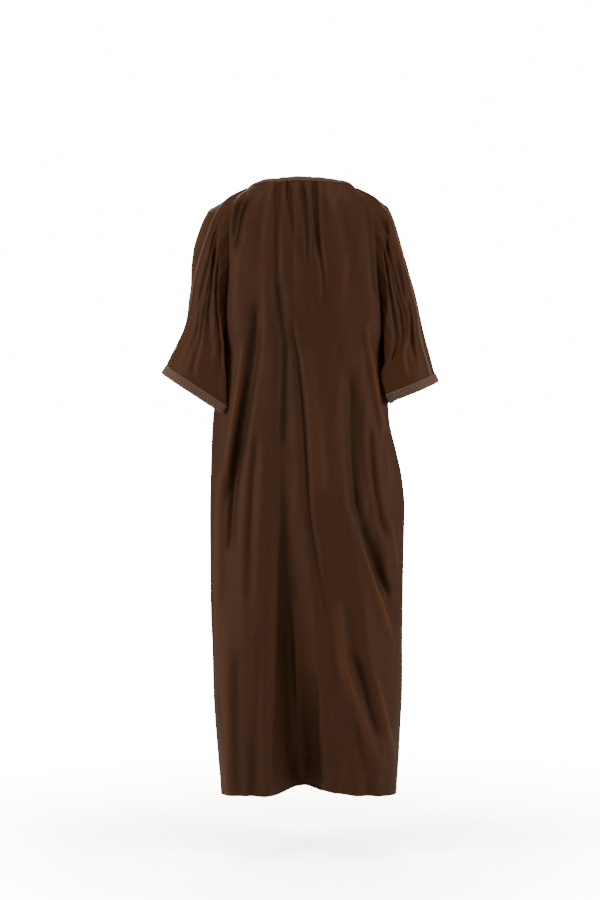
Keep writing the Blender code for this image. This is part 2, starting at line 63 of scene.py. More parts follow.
# Finish of seams, hems and braids.
HEM_DEPTH = 0.020
HEM_LEVELS = (0.0230, 0.0215, 0.0206, 0.0200, 0.0194, 0.0185, 0.0150, 0.0090, 0.0030, 0.0010, 0.0)
HEM_THICKENING = 0.0004
HEM_EASE = 0.0010
HEM_LINE_WIDTH = 0.0012
SEAM_SINK = 0.0010
SEAM_SINK_WIDTH = 0.0045
BRAID_BASE = 0.0003
BRAID_HEIGHT = 0.0013
BRAID_NECK_HEIGHT = 0.0030
BRAID_NECK_REACH = 0.060
BRAID_LINES = 9
BRAID_EDGE = 0.45
BRAID_EDGE_POWER = 6.0
STITCH_LENGTH = 0.0030
STITCH_SPACING = 0.0042
STITCH_RADIUS = 0.00028
STITCH_SIDES = 5

# Along a stitch: shares of its length, and in radii how thick it is there and how high it lies.
STITCH_SHARES = (0.0, 0.15, 0.5, 0.85, 1.0)
STITCH_THICKNESS = (0.35, 0.9, 1.0, 0.9, 0.35)
STITCH_HEIGHTS = (-0.6, 0.5, 0.9, 0.5, -0.6)

# A section is half of a rounded outline, from the left edge of a panel to its right edge.
Section = namedtuple("Section", "edge_z left_x right_x edge_y mid_z mid_y squareness")
Lower = namedtuple("Lower", "edge_z mid_z left_x right_x back_y front_y squareness")

UPPER_BACK = (
    Section(-0.004, 0.112, -0.112, 0.016, 0.016, 0.070, 2.0),
    Section(-0.017, 0.132, -0.131, 0.034, -0.012, 0.086, 2.1),
    Section(-0.050, 0.156, -0.151, 0.054, -0.047, 0.104, 2.4),
    Section(-0.108, 0.161, -0.163, 0.069, -0.105, 0.122, 2.7),
    Section(-0.176, 0.160, -0.167, 0.074, -0.174, 0.130, 2.8),
    Section(-0.250, 0.164, -0.172, 0.068, -0.249, 0.127, 2.8),
    Section(-0.322, 0.170, -0.180, 0.047, -0.322, 0.121, 2.6),
)
UPPER_FRONT = (
    Section(-0.004, 0.112, -0.112, -0.016, -0.072, -0.066, 2.0),
    Section(-0.017, 0.132, -0.131, -0.034, -0.100, -0.087, 2.1),
    Section(-0.050, 0.156, -0.151, -0.053, -0.131, -0.106, 2.4),
    Section(-0.108, 0.160, -0.162, -0.067, -0.170, -0.121, 2.7),
    Section(-0.176, 0.160, -0.167, -0.073, -0.217, -0.130, 2.8),
    Section(-0.250, 0.164, -0.172, -0.067, -0.272, -0.133, 2.8),
    Section(-0.322, 0.170, -0.180, -0.047, -0.331, -0.132, 2.6),
)
# Below the underarm the two panels meet at the side seams, at y = 0.
LOWER = (
    Lower(-0.385, -0.385, 0.183, -0.189, 0.118, -0.130, 2.40),
    Lower(-0.450, -0.450, 0.191, -0.193, 0.116, -0.128, 2.35),
    Lower(-0.523, -0.523, 0.199, -0.197, 0.116, -0.127, 2.30),
    Lower(-0.590, -0.590, 0.203, -0.212, 0.120, -0.127, 2.30),
    Lower(-0.658, -0.658, 0.205, -0.226, 0.126, -0.126, 2.30),
    Lower(-0.725, -0.725, 0.206, -0.231, 0.131, -0.125, 2.30),
    Lower(-0.860, -0.860, 0.205, -0.229, 0.134, -0.125, 2.30),
    Lower(-1.028, -1.026, 0.201, -0.227, 0.136, -0.127, 2.30),
    Lower(-1.131, -1.126, 0.199, -0.226, 0.138, -0.130, 2.30),
    Lower(-1.270, -1.261, 0.189, -0.220, 0.141, -0.135, 2.30),
    Lower(-1.364, -1.351, 0.181, -0.214, 0.143, -0.139, 2.30),
)
UNDERARM_ROW = len(UPPER_BACK)

# A trough has positive depths and a ridge has negative ones.
Fold = namedtuple("Fold", "top bottom x_top x_bottom bow deep_top deep_bottom wide_top wide_bottom growth")
BACK_FOLDS = (
    Fold(-0.380, -1.400, 0.044, -0.007, 0.010, 0.000, 0.126, 0.0220, 0.050, 1.8),
    Fold(-0.820, -1.400, -0.070, -0.082, 0.000, 0.000, 0.032, 0.0300, 0.042, 1.0),
    Fold(-0.310, -0.960, 0.108, 0.168, 0.006, 0.007, 0.005, 0.0130, 0.015, 1.0),
    Fold(-0.400, -1.010, -0.108, -0.204, 0.010, 0.006, 0.009, 0.0140, 0.016, 1.0),
    Fold(-0.690, -1.320, -0.108, -0.190, 0.004, -0.004, -0.010, 0.0160, 0.020, 1.0),
    Fold(-0.900, -1.400, -0.104, -0.152, 0.006, 0.003, 0.012, 0.0130, 0.017, 1.0),
    Fold(-0.980, -1.400, 0.120, 0.110, 0.000, 0.002, 0.012, 0.0180, 0.020, 1.0),
    Fold(0.040, -0.260, 0.052, 0.056, 0.000, 0.004, 0.001, 0.0065, 0.010, 1.0),
    Fold(0.040, -0.240, 0.028, 0.010, 0.002, 0.004, 0.001, 0.0065, 0.010, 1.0),
    Fold(0.040, -0.180, 0.002, -0.014, 0.001, 0.003, 0.001, 0.0065, 0.009, 1.0),
    Fold(0.040, -0.220, -0.030, -0.042, 0.002, 0.004, 0.001, 0.0065, 0.010, 1.0),
    Fold(0.040, -0.160, -0.056, -0.060, 0.000, 0.003, 0.001, 0.0065, 0.009, 1.0),
)
FRONT_FOLDS = (
    Fold(-0.420, -1.400, -0.012, -0.022, 0.010, 0.000, 0.046, 0.0240, 0.040, 1.5),
    Fold(-0.340, -1.400, 0.092, 0.106, 0.012, 0.004, 0.026, 0.0160, 0.026, 1.0),
    Fold(-0.300, -1.400, -0.100, -0.130, 0.008, 0.004, 0.024, 0.0160, 0.024, 1.0),
    Fold(-0.700, -1.400, 0.046, 0.054, 0.000, -0.002, -0.014, 0.0180, 0.024, 1.0),
    Fold(-0.640, -1.400, -0.066, -0.078, 0.004, -0.002, -0.013, 0.0180, 0.022, 1.0),
    Fold(-0.030, -0.250, 0.056, 0.066, 0.000, 0.003, 0.001, 0.0065, 0.011, 1.0),
    Fold(-0.050, -0.270, 0.022, 0.026, 0.000, 0.003, 0.001, 0.0065, 0.010, 1.0),
    Fold(-0.050, -0.260, -0.020, -0.028, 0.000, 0.003, 0.001, 0.0065, 0.010, 1.0),
    Fold(-0.030, -0.240, -0.058, -0.070, 0.000, 0.003, 0.001, 0.0065, 0.011, 1.0),
)
FOLD_START = 0.06
FOLD_END = 0.05
FOLD_EDGE_FADE = 0.10

# Where the cloth slants inwards near the hem, the hem rises, since the cloth keeps its length.
HEM_RISE = 0.10
HEM_RISE_TOP = -0.6
HEM_RISE_SPAN = 0.7

# A sleeve ring runs from its lowest point up over the back, to the top, and down the front. The
# tuck and the drop are how far its lower back hangs inwards, over the side of the body, and down.
# The turn is how far the sleeve is twisted, so that its braid lies behind the ring's top.
RING_NAMES = "top_x top_y top_z low_x low_y low_z back_bulge front_bulge squareness tuck drop turn"
Ring = namedtuple("Ring", RING_NAMES)
LEFT_SLEEVE = (
    Ring(0.208, -0.008, -0.063, 0.191, 0.012, -0.402, 0.083, 0.078, 2.4, 0.020, 0.000, 0.082),
    Ring(0.239, -0.015, -0.140, 0.195, 0.018, -0.412, 0.081, 0.074, 2.4, 0.033, 0.000, 0.092),
    Ring(0.251, -0.010, -0.246, 0.198, 0.021, -0.424, 0.077, 0.072, 2.5, 0.039, 0.004, 0.058),
    Ring(0.262, -0.002, -0.318, 0.200, 0.022, -0.437, 0.073, 0.070, 2.5, 0.046, 0.012, 0.022),
    Ring(0.314, 0.000, -0.418, 0.211, 0.022, -0.485, 0.070, 0.064, 2.2, 0.058, 0.038, 0.000),
)
RIGHT_SLEEVE = (
    Ring(-0.199, -0.003, -0.057, -0.191, 0.010, -0.404, 0.078, 0.080, 2.3, 0.010, 0.000, 0.020),
    Ring(-0.226, -0.004, -0.140, -0.193, 0.014, -0.416, 0.073, 0.078, 2.4, 0.018, 0.000, 0.020),
    Ring(-0.256, -0.004, -0.246, -0.194, 0.016, -0.428, 0.071, 0.075, 2.4, 0.022, 0.002, 0.022),
    Ring(-0.274, -0.003, -0.328, -0.193, 0.018, -0.440, 0.070, 0.074, 2.3, 0.034, 0.004, 0.035),
    Ring(-0.308, -0.002, -0.437, -0.200, 0.022, -0.4855, 0.070, 0.072, 2.1, 0.028, 0.009, 0.035),
)
HANG_START = 0.35
HANG_SPAN = 1.4
SHOULDER_BLENDS = ((0.50, 0.25), (0.78, 0.65))
SHOULDER_RISE = 0.011
SHOULDER_RISE_WIDTH = 0.060
NECK_END_RISE = 0.002

# How far the middle of each shoulder braid lies behind the top of its sleeve, at shares of the
# way from the neck to the cuff.
BRAID_SHIFTS = {
    "left": ((0.00, 0.004), (0.03, 0.017), (0.06, 0.021), (0.10, 0.018), (0.135, 0.014),
             (0.18, 0.000)),
    "right": ((0.00, 0.004), (0.03, 0.017), (0.06, 0.023), (0.12, 0.027), (0.17, 0.026), (0.28, 0.030),
              (0.54, 0.030), (0.64, 0.021), (1.00, 0.014)),
}
BRAID_SMOOTHING = 4

# The braid's middle lies within this many columns of the sleeve's top column, and it starts a
# little beyond the neckband, at a share of the neckband's width.
BRAID_REACH = 14
BRAID_START = 1.05

# Along a sleeve 0 is the armhole and 1 the cuff; round it 0 is the underarm and 0.5 the top.
SleeveFold = namedtuple("SleeveFold", "start end start_round end_round deep wide")
LEFT_SLEEVE_FOLDS = (
    SleeveFold(0.15, 0.75, 0.37, 0.28, 0.008, 0.028),
    SleeveFold(0.40, 1.00, 0.40, 0.34, 0.004, 0.028),
    SleeveFold(0.10, 0.90, 0.72, 0.88, 0.010, 0.032),
    SleeveFold(0.30, 1.00, 0.62, 0.70, 0.005, 0.030),
)
RIGHT_SLEEVE_FOLDS = (
    SleeveFold(0.15, 0.80, 0.37, 0.28, 0.008, 0.028),
    SleeveFold(0.40, 1.00, 0.42, 0.35, 0.004, 0.026),
    SleeveFold(0.10, 0.90, 0.70, 0.86, 0.010, 0.032),
    SleeveFold(0.30, 1.00, 0.60, 0.68, 0.005, 0.028),
)
SLEEVE_FOLD_FADE = 0.15

# The finer creases. Each row of a path is a place across the panel, a distance down from the
# neck's height, a depth and a half width. A lean above 0 makes the left flank the steeper one.
Crease = namedtuple("Crease", "path lean")
BACK_CREASES = (
    Crease(((0.034, -0.030, 0.0026, 0.0050), (0.019, 0.080, 0.0022, 0.007),
            (0.000, 0.190, 0.0010, 0.008)), 0.0),
    Crease(((0.002, -0.020, 0.0028, 0.0050), (-0.012, 0.118, 0.0024, 0.007),
            (-0.014, 0.220, 0.0010, 0.008)), 0.2),
    Crease(((-0.026, -0.030, 0.0026, 0.005), (-0.034, 0.114, 0.0030, 0.006),
            (-0.046, 0.200, 0.0022, 0.008), (-0.050, 0.300, 0.0010, 0.010)), 0.2),
    Crease(((-0.051, 0.010, 0.0020, 0.0045), (-0.056, 0.120, 0.0012, 0.006)), 0.0),
    Crease(((0.051, -0.030, 0.0022, 0.006), (0.054, 0.127, 0.0018, 0.010),
            (0.050, 0.270, 0.0016, 0.014), (0.046, 0.360, 0.0010, 0.014)), -0.2),
    Crease(((0.014, 0.060, -0.0010, 0.005), (0.010, 0.160, -0.0016, 0.007),
            (0.004, 0.300, -0.0010, 0.010)), 0.0),
    Crease(((0.072, 0.000, -0.0010, 0.008), (0.078, 0.180, -0.0018, 0.012),
            (0.082, 0.380, -0.0014, 0.014)), 0.0),
    Crease(((-0.072, 0.020, -0.0010, 0.008), (-0.086, 0.200, -0.0014, 0.014),
            (-0.094, 0.380, -0.0010, 0.016)), 0.0),
    Crease(((0.084, 0.000, 0.0014, 0.007), (0.092, 0.150, 0.0006, 0.012)), 0.0),
    Crease(((-0.092, 0.010, 0.0012, 0.008), (-0.100, 0.170, 0.0006, 0.014)), 0.0),
    Crease(((0.106, 0.010, 0.0034, 0.006), (0.133, 0.075, 0.0044, 0.0065),
            (0.149, 0.170, 0.0020, 0.007)), 0.3),
    Crease(((0.117, 0.005, 0.0030, 0.005), (0.148, 0.070, 0.0044, 0.006),
            (0.156, 0.150, 0.003, 0.006)), 0.3),
    Crease(((-0.136, 0.020, 0.0016, 0.006), (-0.158, 0.114, 0.0030, 0.006),
            (-0.168, 0.260, 0.003, 0.007)), -0.3),
    Crease(((0.097, 0.240, 0.0022, 0.014), (0.106, 0.361, 0.0040, 0.013),
            (0.130, 0.508, 0.0050, 0.012), (0.152, 0.633, 0.0040, 0.011),
            (0.168, 0.720, 0.0020, 0.010)), 0.3),
    Crease(((0.136, 0.540, 0.0020, 0.007), (0.152, 0.674, 0.0034, 0.007),
            (0.160, 0.830, 0.0020, 0.008)), 0.2),
    Crease(((0.098, 0.540, 0.0014, 0.009), (0.110, 0.674, 0.0026, 0.009),
            (0.120, 0.940, 0.0012, 0.012)), 0.2),
    Crease(((0.122, 0.330, -0.0012, 0.009), (0.146, 0.500, -0.0026, 0.009),
            (0.172, 0.660, -0.0016, 0.009)), 0.0),
    Crease(((0.180, 0.620, -0.0020, 0.008), (0.184, 0.850, -0.0028, 0.009),
            (0.178, 1.150, -0.0016, 0.012)), 0.0),
    Crease(((0.056, 0.200, 0.0014, 0.014), (0.038, 0.361, 0.0040, 0.014),
            (0.040, 0.500, 0.0046, 0.013), (0.042, 0.600, 0.0030, 0.014)), 0.2),
    Crease(((0.022, 0.290, 0.0010, 0.006), (0.010, 0.361, 0.0022, 0.006),
            (-0.003, 0.466, 0.0030, 0.0065), (-0.012, 0.591, 0.0032, 0.0065),
            (-0.018, 0.710, 0.0030, 0.007), (-0.040, 0.860, 0.0026, 0.009),
            (-0.058, 0.980, 0.0016, 0.012)), -0.3),
    Crease(((-0.010, 0.330, -0.0008, 0.012), (-0.030, 0.520, -0.0020, 0.016),
            (-0.046, 0.700, -0.0020, 0.018)), 0.0),
    Crease(((-0.106, 0.400, 0.0014, 0.012), (-0.112, 0.560, 0.0040, 0.013),
            (-0.123, 0.700, 0.0056, 0.012), (-0.158, 0.820, 0.0062, 0.012),
            (-0.196, 0.925, 0.0040, 0.012)), -0.3),
    Crease(((-0.150, 0.520, 0.0016, 0.008), (-0.160, 0.650, 0.0032, 0.008),
            (-0.186, 0.790, 0.0030, 0.009)), -0.2),
    Crease(((-0.137, 0.300, -0.0016, 0.008), (-0.160, 0.440, -0.0036, 0.008),
            (-0.179, 0.550, -0.0034, 0.008), (-0.198, 0.690, -0.0020, 0.009)), 0.2),
    Crease(((-0.119, 0.700, -0.0022, 0.008), (-0.146, 0.837, -0.0042, 0.008),
            (-0.172, 0.920, -0.0044, 0.008), (-0.200, 1.020, -0.0024, 0.009)), -0.2),
    Crease(((-0.194, 0.730, -0.0026, 0.006), (-0.212, 0.860, -0.0018, 0.007)), 0.0),
    Crease(((-0.078, 0.900, -0.0016, 0.010), (-0.091, 1.045, -0.0036, 0.010),
            (-0.110, 1.113, -0.0036, 0.010), (-0.146, 1.207, -0.0030, 0.010),
            (-0.176, 1.300, -0.0016, 0.011)), -0.2),
    Crease(((-0.158, 1.060, -0.0020, 0.007), (-0.183, 1.183, -0.0034, 0.007),
            (-0.206, 1.280, -0.0018, 0.008)), 0.0),
    Crease(((-0.112, 1.020, 0.0020, 0.010), (-0.138, 1.120, 0.0042, 0.010),
            (-0.172, 1.240, 0.0034, 0.010)), 0.3),
    Crease(((0.090, 0.980, 0.0010, 0.012), (0.098, 1.150, 0.0024, 0.012),
            (0.104, 1.380, 0.0034, 0.014)), 0.0),
    Crease(((0.142, 1.020, 0.0012, 0.010), (0.146, 1.200, 0.0026, 0.010),
            (0.140, 1.380, 0.0030, 0.012)), 0.2),
    Crease(((0.166, 0.960, -0.0014, 0.010), (0.166, 1.150, -0.0022, 0.010),
            (0.160, 1.380, -0.0024, 0.010)), 0.0),
    Crease(((0.042, 0.560, 0.0012, 0.008), (0.042, 0.800, 0.0024, 0.010),
            (0.044, 0.980, 0.0024, 0.012), (0.050, 1.150, 0.0026, 0.014),
            (0.054, 1.390, 0.0028, 0.016)), 0.6),
    Crease(((0.020, 0.900, -0.0014, 0.008), (0.010, 1.080, -0.0030, 0.009),
            (0.010, 1.300, -0.0020, 0.012)), 0.0),
    Crease(((-0.026, 1.060, 0.0020, 0.010), (-0.030, 1.200, 0.0034, 0.010),
            (-0.040, 1.380, 0.0030, 0.012)), -0.4),
    Crease(((-0.178, 0.530, 0.0022, 0.005), (-0.183, 0.590, 0.0030, 0.005),
            (-0.188, 0.650, 0.0020, 0.006)), 0.3),
)
FRONT_CREASES = (
    Crease(((0.040, 0.070, 0.0020, 0.005), (0.036, 0.220, 0.0010, 0.009)), 0.0),
    Crease(((0.002, 0.080, 0.0018, 0.005), (0.000, 0.190, 0.0010, 0.008)), 0.2),
    Crease(((-0.040, 0.070, 0.0022, 0.005), (-0.048, 0.260, 0.0010, 0.010)), -0.2),
    Crease(((0.086, 0.040, 0.0020, 0.008), (0.100, 0.180, 0.0010, 0.012)), 0.0),
    Crease(((-0.088, 0.040, 0.0018, 0.008), (-0.106, 0.200, 0.0010, 0.012)), 0.0),
    Crease(((0.140, 0.040, 0.0026, 0.007), (0.152, 0.150, 0.0034, 0.007),
            (0.158, 0.280, 0.0020, 0.009)), 0.3),
    Crease(((-0.138, 0.040, 0.0026, 0.007), (-0.154, 0.150, 0.0032, 0.007),
            (-0.166, 0.290, 0.0020, 0.009)), -0.3),
    Crease(((0.128, 0.330, 0.0024, 0.012), (0.150, 0.500, 0.0048, 0.012),
            (0.172, 0.720, 0.0024, 0.012)), 0.3),
    Crease(((-0.124, 0.340, 0.0024, 0.012), (-0.150, 0.520, 0.0046, 0.012),
            (-0.188, 0.760, 0.0024, 0.012)), -0.3),
    Crease(((0.060, 0.240, 0.0016, 0.014), (0.052, 0.420, 0.0032, 0.013),
            (0.056, 0.620, 0.0016, 0.014)), 0.2),
    Crease(((-0.052, 0.300, 0.0014, 0.012), (-0.058, 0.480, 0.0030, 0.012),
            (-0.050, 0.700, 0.0014, 0.014)), -0.2),
    Crease(((0.010, 0.340, 0.0010, 0.008), (0.004, 0.520, 0.0026, 0.008),
            (0.012, 0.800, 0.0012, 0.010)), 0.0),
    Crease(((0.134, 0.600, -0.0016, 0.010), (0.146, 0.820, -0.0034, 0.010),
            (0.140, 1.100, -0.0020, 0.012)), 0.0),
    Crease(((-0.146, 0.620, -0.0016, 0.010), (-0.170, 0.860, -0.0036, 0.010),
            (-0.172, 1.160, -0.0020, 0.012)), 0.0),
    Crease(((0.080, 0.760, 0.0016, 0.010), (0.076, 0.980, 0.0034, 0.010),
            (0.082, 1.390, 0.0034, 0.012)), 0.3),
    Crease(((-0.100, 0.780, -0.0014, 0.009), (-0.104, 1.000, -0.0030, 0.010),
            (-0.102, 1.390, -0.0030, 0.012)), 0.0),
    Crease(((0.014, 0.820, -0.0014, 0.010), (0.020, 1.060, -0.0030, 0.010),
            (0.022, 1.390, -0.0030, 0.014)), 0.0),
    Crease(((-0.046, 0.860, 0.0014, 0.009), (-0.044, 1.100, 0.0032, 0.010),
            (-0.050, 1.390, 0.0032, 0.012)), -0.3),
    Crease(((0.156, 1.000, 0.0014, 0.010), (0.160, 1.200, 0.0030, 0.010),
            (0.152, 1.390, 0.0030, 0.012)), 0.0),
    Crease(((-0.170, 1.040, 0.0014, 0.010), (-0.190, 1.220, 0.0030, 0.010),
            (-0.186, 1.390, 0.0028, 0.012)), 0.0),
)
PANEL_CREASE_FADE = 0.045
PANEL_EDGE_FADE = 0.020

# The relief scales the creases' depths. Where they add up to the shade depth, the painted shade in
# a trough and the painted highlight on a ridge are at their full strength.
PANEL_RELIEF = 2.4
SLEEVE_RELIEF = 1.2
PAINTED_SHADE_DEPTH = 0.010

# The same for the sleeves, with places round the sleeve and along it as above.
LEFT_SLEEVE_CREASES = (
    Crease(((0.300, 0.12, 0.0022, 0.014), (0.250, 0.45, 0.0050, 0.016),
            (0.180, 0.92, 0.0034, 0.016)), 0.3),
    Crease(((0.360, 0.40, 0.0014, 0.010), (0.330, 0.70, 0.0034, 0.011),
            (0.300, 1.02, 0.0020, 0.013)), -0.2),
    Crease(((0.430, 0.05, 0.0018, 0.010), (0.420, 0.35, 0.0034, 0.012),
            (0.400, 0.72, 0.0014, 0.014)), 0.2),
    Crease(((0.395, 0.55, -0.0010, 0.011), (0.385, 0.80, -0.0024, 0.012),
            (0.375, 1.02, -0.0010, 0.014)), 0.0),
    Crease(((0.240, 0.60, -0.0014, 0.010), (0.235, 0.85, -0.0024, 0.012)), 0.0),
    Crease(((0.560, 0.20, -0.0008, 0.040), (0.570, 0.36, -0.0030, 0.040),
            (0.572, 0.46, -0.0044, 0.038), (0.570, 0.55, -0.0034, 0.036),
            (0.560, 0.70, -0.0010, 0.030)), 0.0),
    Crease(((0.570, 0.10, 0.0020, 0.011), (0.590, 0.45, 0.0036, 0.013),
            (0.610, 0.90, 0.0016, 0.014)), 0.0),
    Crease(((0.680, 0.20, -0.0014, 0.012), (0.720, 0.60, -0.0030, 0.014),
            (0.750, 1.02, -0.0014, 0.014)), 0.0),
    Crease(((0.790, 0.15, 0.0020, 0.012), (0.830, 0.50, 0.0040, 0.014),
            (0.850, 0.90, 0.0020, 0.016)), 0.2),
)
RIGHT_SLEEVE_CREASES = (
    Crease(((0.320, 0.10, 0.0026, 0.013), (0.270, 0.40, 0.0052, 0.015),
            (0.210, 0.88, 0.0034, 0.016)), 0.3),
    Crease(((0.350, 0.30, -0.0020, 0.009), (0.310, 0.62, -0.0036, 0.010),
            (0.290, 1.02, -0.0018, 0.012)), 0.0),
    Crease(((0.400, 0.08, 0.0024, 0.010), (0.390, 0.40, 0.0044, 0.011),
            (0.350, 0.90, 0.0030, 0.013)), -0.2),
    Crease(((0.440, 0.22, -0.0026, 0.013), (0.424, 0.54, -0.0040, 0.013),
            (0.345, 0.72, -0.0044, 0.015), (0.310, 0.84, -0.0020, 0.016)), 0.0),
    Crease(((0.410, 0.60, -0.0010, 0.009), (0.395, 0.76, -0.0034, 0.011),
            (0.380, 0.98, -0.0020, 0.012)), 0.0),
    Crease(((0.570, 0.10, 0.0020, 0.011), (0.590, 0.50, 0.0036, 0.013),
            (0.620, 0.90, 0.0016, 0.014)), 0.0),
    Crease(((0.670, 0.20, -0.0014, 0.012), (0.700, 0.55, -0.0030, 0.014),
            (0.740, 1.02, -0.0014, 0.014)), 0.0),
    Crease(((0.780, 0.15, 0.0020, 0.012), (0.820, 0.55, 0.0040, 0.014),
            (0.860, 0.90, 0.0020, 0.016)), -0.2),
)
SLEEVE_CREASE_FADE = 0.10
SLEEVE_SEAM_FADE = 0.020
SLEEVE_CUFF_FADE = 0.030
SLEEVE_CUFF_PLAIN = 0.022

# The cloth's slight unevenness: waves with a height, a frequency across and one down, and a phase.
Wave = namedtuple("Wave", "height across down phase")
WAVES = (
    Wave(0.00050, 61.0, 7.0, 0.4),
    Wave(0.00042, 103.0, -11.0, 2.1),
    Wave(0.00030, 167.0, 17.0, 4.0),
    Wave(0.00036, 37.0, 23.0, 1.3),
    Wave(0.00020, 241.0, 29.0, 5.2),
)

# The phase of a wave drifts by this much, to and fro, on the way down the cloth.
WAVE_DRIFT = 1.7
WAVE_DRIFT_RATE = 5.0

# The camera stands behind the robe, at the photograph's distance and height.
CAMERA_PLACE = (0.0034, 5.0, -0.44)
CAMERA_TILT = math.radians(1.723)
CAMERA_LENS = 89.08
CAMERA_SENSOR = 36.0

# The floor is a large square at this height, below the hem.
FLOOR_HEIGHT = -1.493
FLOOR_HALF_SIDE = 40.0
FLOOR_CORNERS = ((-1, -1), (1, -1), (1, 1), (-1, 1))

# The floor reflects light as pale paper does, but is shown as brighter than that, the more so
# the farther it lies, so that it runs into the white surround as on the photograph.
FLOOR_ALBEDO = 0.8
FLOOR_SHOWN = 8.0
FLOOR_SHOWN_FAR = 90.0
FLOOR_NEAR = 0.5
FLOOR_FAR = 9.0

# The surround lights the robe softly, but is shown as white.
SURROUND_LIGHT = 0.28
WHITE_LEVEL = 16.0

# The soft lights are squares that face their aim.
Lamp = namedtuple("Lamp", "name place aim size power tint")
LAMPS = (
    Lamp("key", (1.9, 0.9, -0.2), (0.0, 0.1, -0.7), 1.0, 36.0, (1.0, 0.97, 0.93)),
    Lamp("fill", (-1.9, 0.9, -0.2), (0.0, 0.1, -0.7), 1.0, 31.0, (1.0, 0.95, 0.88)),
    Lamp("front", (0.4, -2.6, 1.4), (0.0, 0.0, -0.6), 1.6, 44.0, (1.0, 1.0, 1.0)),
    Lamp("overhead", (0.0, 0.4, 2.4), (0.0, 0.0, -0.2), 1.2, 46.0, (1.0, 0.86, 0.68)),
)

# Screen colours of the cloth: its yarns' dark and light shade, its warm patches, the painted shade
# in its troughs and the painted highlight on its ridges with the share by which each is painted, and
# the tints of its sheen and gloss.
BODY_SHADES = ((51, 30, 21), (66, 39, 28))
SLEEVE_SHADES = ((52, 30, 20), (70, 41, 27))
CLOTH_WARM = (60, 38, 20)
FOLD_PAINTED_SHADE = (32, 20, 13)
FOLD_PAINTED_HIGHLIGHT = (94, 57, 35)
FOLD_PAINTED_SHADE_SHARE = 0.50
BODY_PAINTED_HIGHLIGHT_SHARE = 0.42
SLEEVE_PAINTED_HIGHLIGHT_SHARE = 0.95
SHEEN_WARM = (226, 140, 72)
SPECULAR_WARM = (255, 214, 178)

# Screen colours of the braid, the lengths of its pattern, and the thread's colours.
BRAID_LIGHT = ((88, 62, 46), (114, 84, 65))
BRAID_DARK = ((48, 31, 21), (66, 45, 32))
BRAID_EDGING = (92, 66, 50)
BRAID_SHEEN = (200, 170, 140)
NARROW_REPEAT = 0.0070
WIDE_REPEAT = 0.0080
LOZENGE_WIDTH = 1.15
THREAD_SHADES = ((60, 38, 26), (84, 56, 38))

# How fine the unevenness of the yarns is, along one axis of the cloth and along the other.
WARP_SCALE = (900.0, 14.0, 0.0)
WEFT_SCALE = (11.0, 760.0, 0.0)
PATCH_SCALE = (9.0, 4.0, 0.0)
BRAID_YARN_SCALE = (1500.0, 9.0, 0.0)
BRAID_MOTTLE_SCALE = (420.0, 2.4, 0.0)

# The rates of the waves and of the noise that stand for single threads, and the depths of the
# bumps in metres.
CLOTH_THREADS = 9400.0
CLOTH_THREAD_DEPTH = 0.00006
CLOTH_SLUB_DEPTH = 0.00022
BRAID_RIBS = 7800.0
BRAID_DEPTH = 0.00030
THREAD_TWIST = 2600.0

# The painted shade of a point of the cloth runs from 1 in a deep trough, painted darkest, to -1 on
# a high ridge, painted as a bright highlight.
Piece = namedtuple("Piece", "grid normals across down shade")


def unit(vectors):
    """Scale vectors to a length of one."""
    size = np.linalg.norm(vectors, axis=-1, keepdims=True)
    return vectors / np.maximum(size, TINY)


def running_length(points):
    """Give the length of a line of points up to each of them."""
    steps = np.linalg.norm(np.diff(points, axis=0), axis=1)
    return np.concatenate(([0.0], np.cumsum(steps)))


def read_at(values, length, distances):
    """Read values that belong to the points of a line at distances from its start."""
    return np.column_stack([np.interp(distances, length, values[:, axis]) for axis in range(3)])


def at_lengths(points, distances):
    """Give the points of a line at distances from its start."""
    return read_at(points, running_length(points), distances)


def spread(points, first_trim, last_trim, fractions):
    """Place points along a line at fractions of its length, less a trim at each end."""
    total = running_length(points)[-1] - first_trim - last_trim
    return at_lengths(points, first_trim + total * fractions)


def steady_slopes(values):
    """Give slopes for a smooth curve through rows of values that never overshoots them."""
    steps = np.diff(values, axis=0)
    slopes = np.zeros_like(values)
    product = steps[:-1] * steps[1:]
    total = steps[:-1] + steps[1:]
    safe = np.where(np.abs(total) < TINY, 1.0, total)
    slopes[1:-1] = np.where(product > 0, 2.0 * product / safe, 0.0)
    slopes[0] = steps[0]
    slopes[-1] = steps[-1]
    return slopes


def between_rows(values, slopes, position):
    """Read a smooth curve through equally spaced rows of values at a fractional row."""
    row = int(min(math.floor(position), len(values) - 2))
    t = position - row
    rise = 3 * t * t - 2 * t * t * t
    leaving = t * (1 - t) * (1 - t)
    arriving = t * t * (t - 1)
    span = values[row + 1] - values[row]
    return values[row] + span * rise + slopes[row] * leaving + slopes[row + 1] * arriving


def smooth_step(values):
    """Ease values that run from 0 to 1."""
    held = np.clip(values, 0.0, 1.0)
    return held * held * (3.0 - 2.0 * held)


def panel_table(upper, middle_name):
    """Join the upper sections of a panel with the lower ones, as rows of one table."""
    rows = [list(section) for section in upper]
    for low in LOWER:
        middle = getattr(low, middle_name)
        rows.append([low.edge_z, low.left_x, low.right_x, 0.0, low.mid_z, middle, low.squareness])
    return np.array(rows)


def row_positions(table):
    """Spread the rows of the body evenly above the underarm and below it, with more at the hem."""
    slopes = steady_slopes(table)
    positions = [0.0]
    hem_row = len(table) - 1
    for first, last, count in ((0, UNDERARM_ROW, UPPER_ROWS), (UNDERARM_ROW, hem_row, LOWER_ROWS)):
        dense = np.linspace(first, last, DENSE)
        read = np.array([between_rows(table, slopes, position) for position in dense])
        length = running_length(read[:, [1, 3, 0]]) + running_length(read[:, [5, 4]])
        wanted = np.linspace(0.0, length[-1], count + 1)[1:]
        if last == hem_row:
            hem = length[-1] - 2.0 * np.array(HEM_LEVELS)
            wanted = np.concatenate((np.linspace(0.0, hem[0], count + 1)[1:-1], hem))
        positions.extend(np.interp(wanted, length, dense))
    return positions


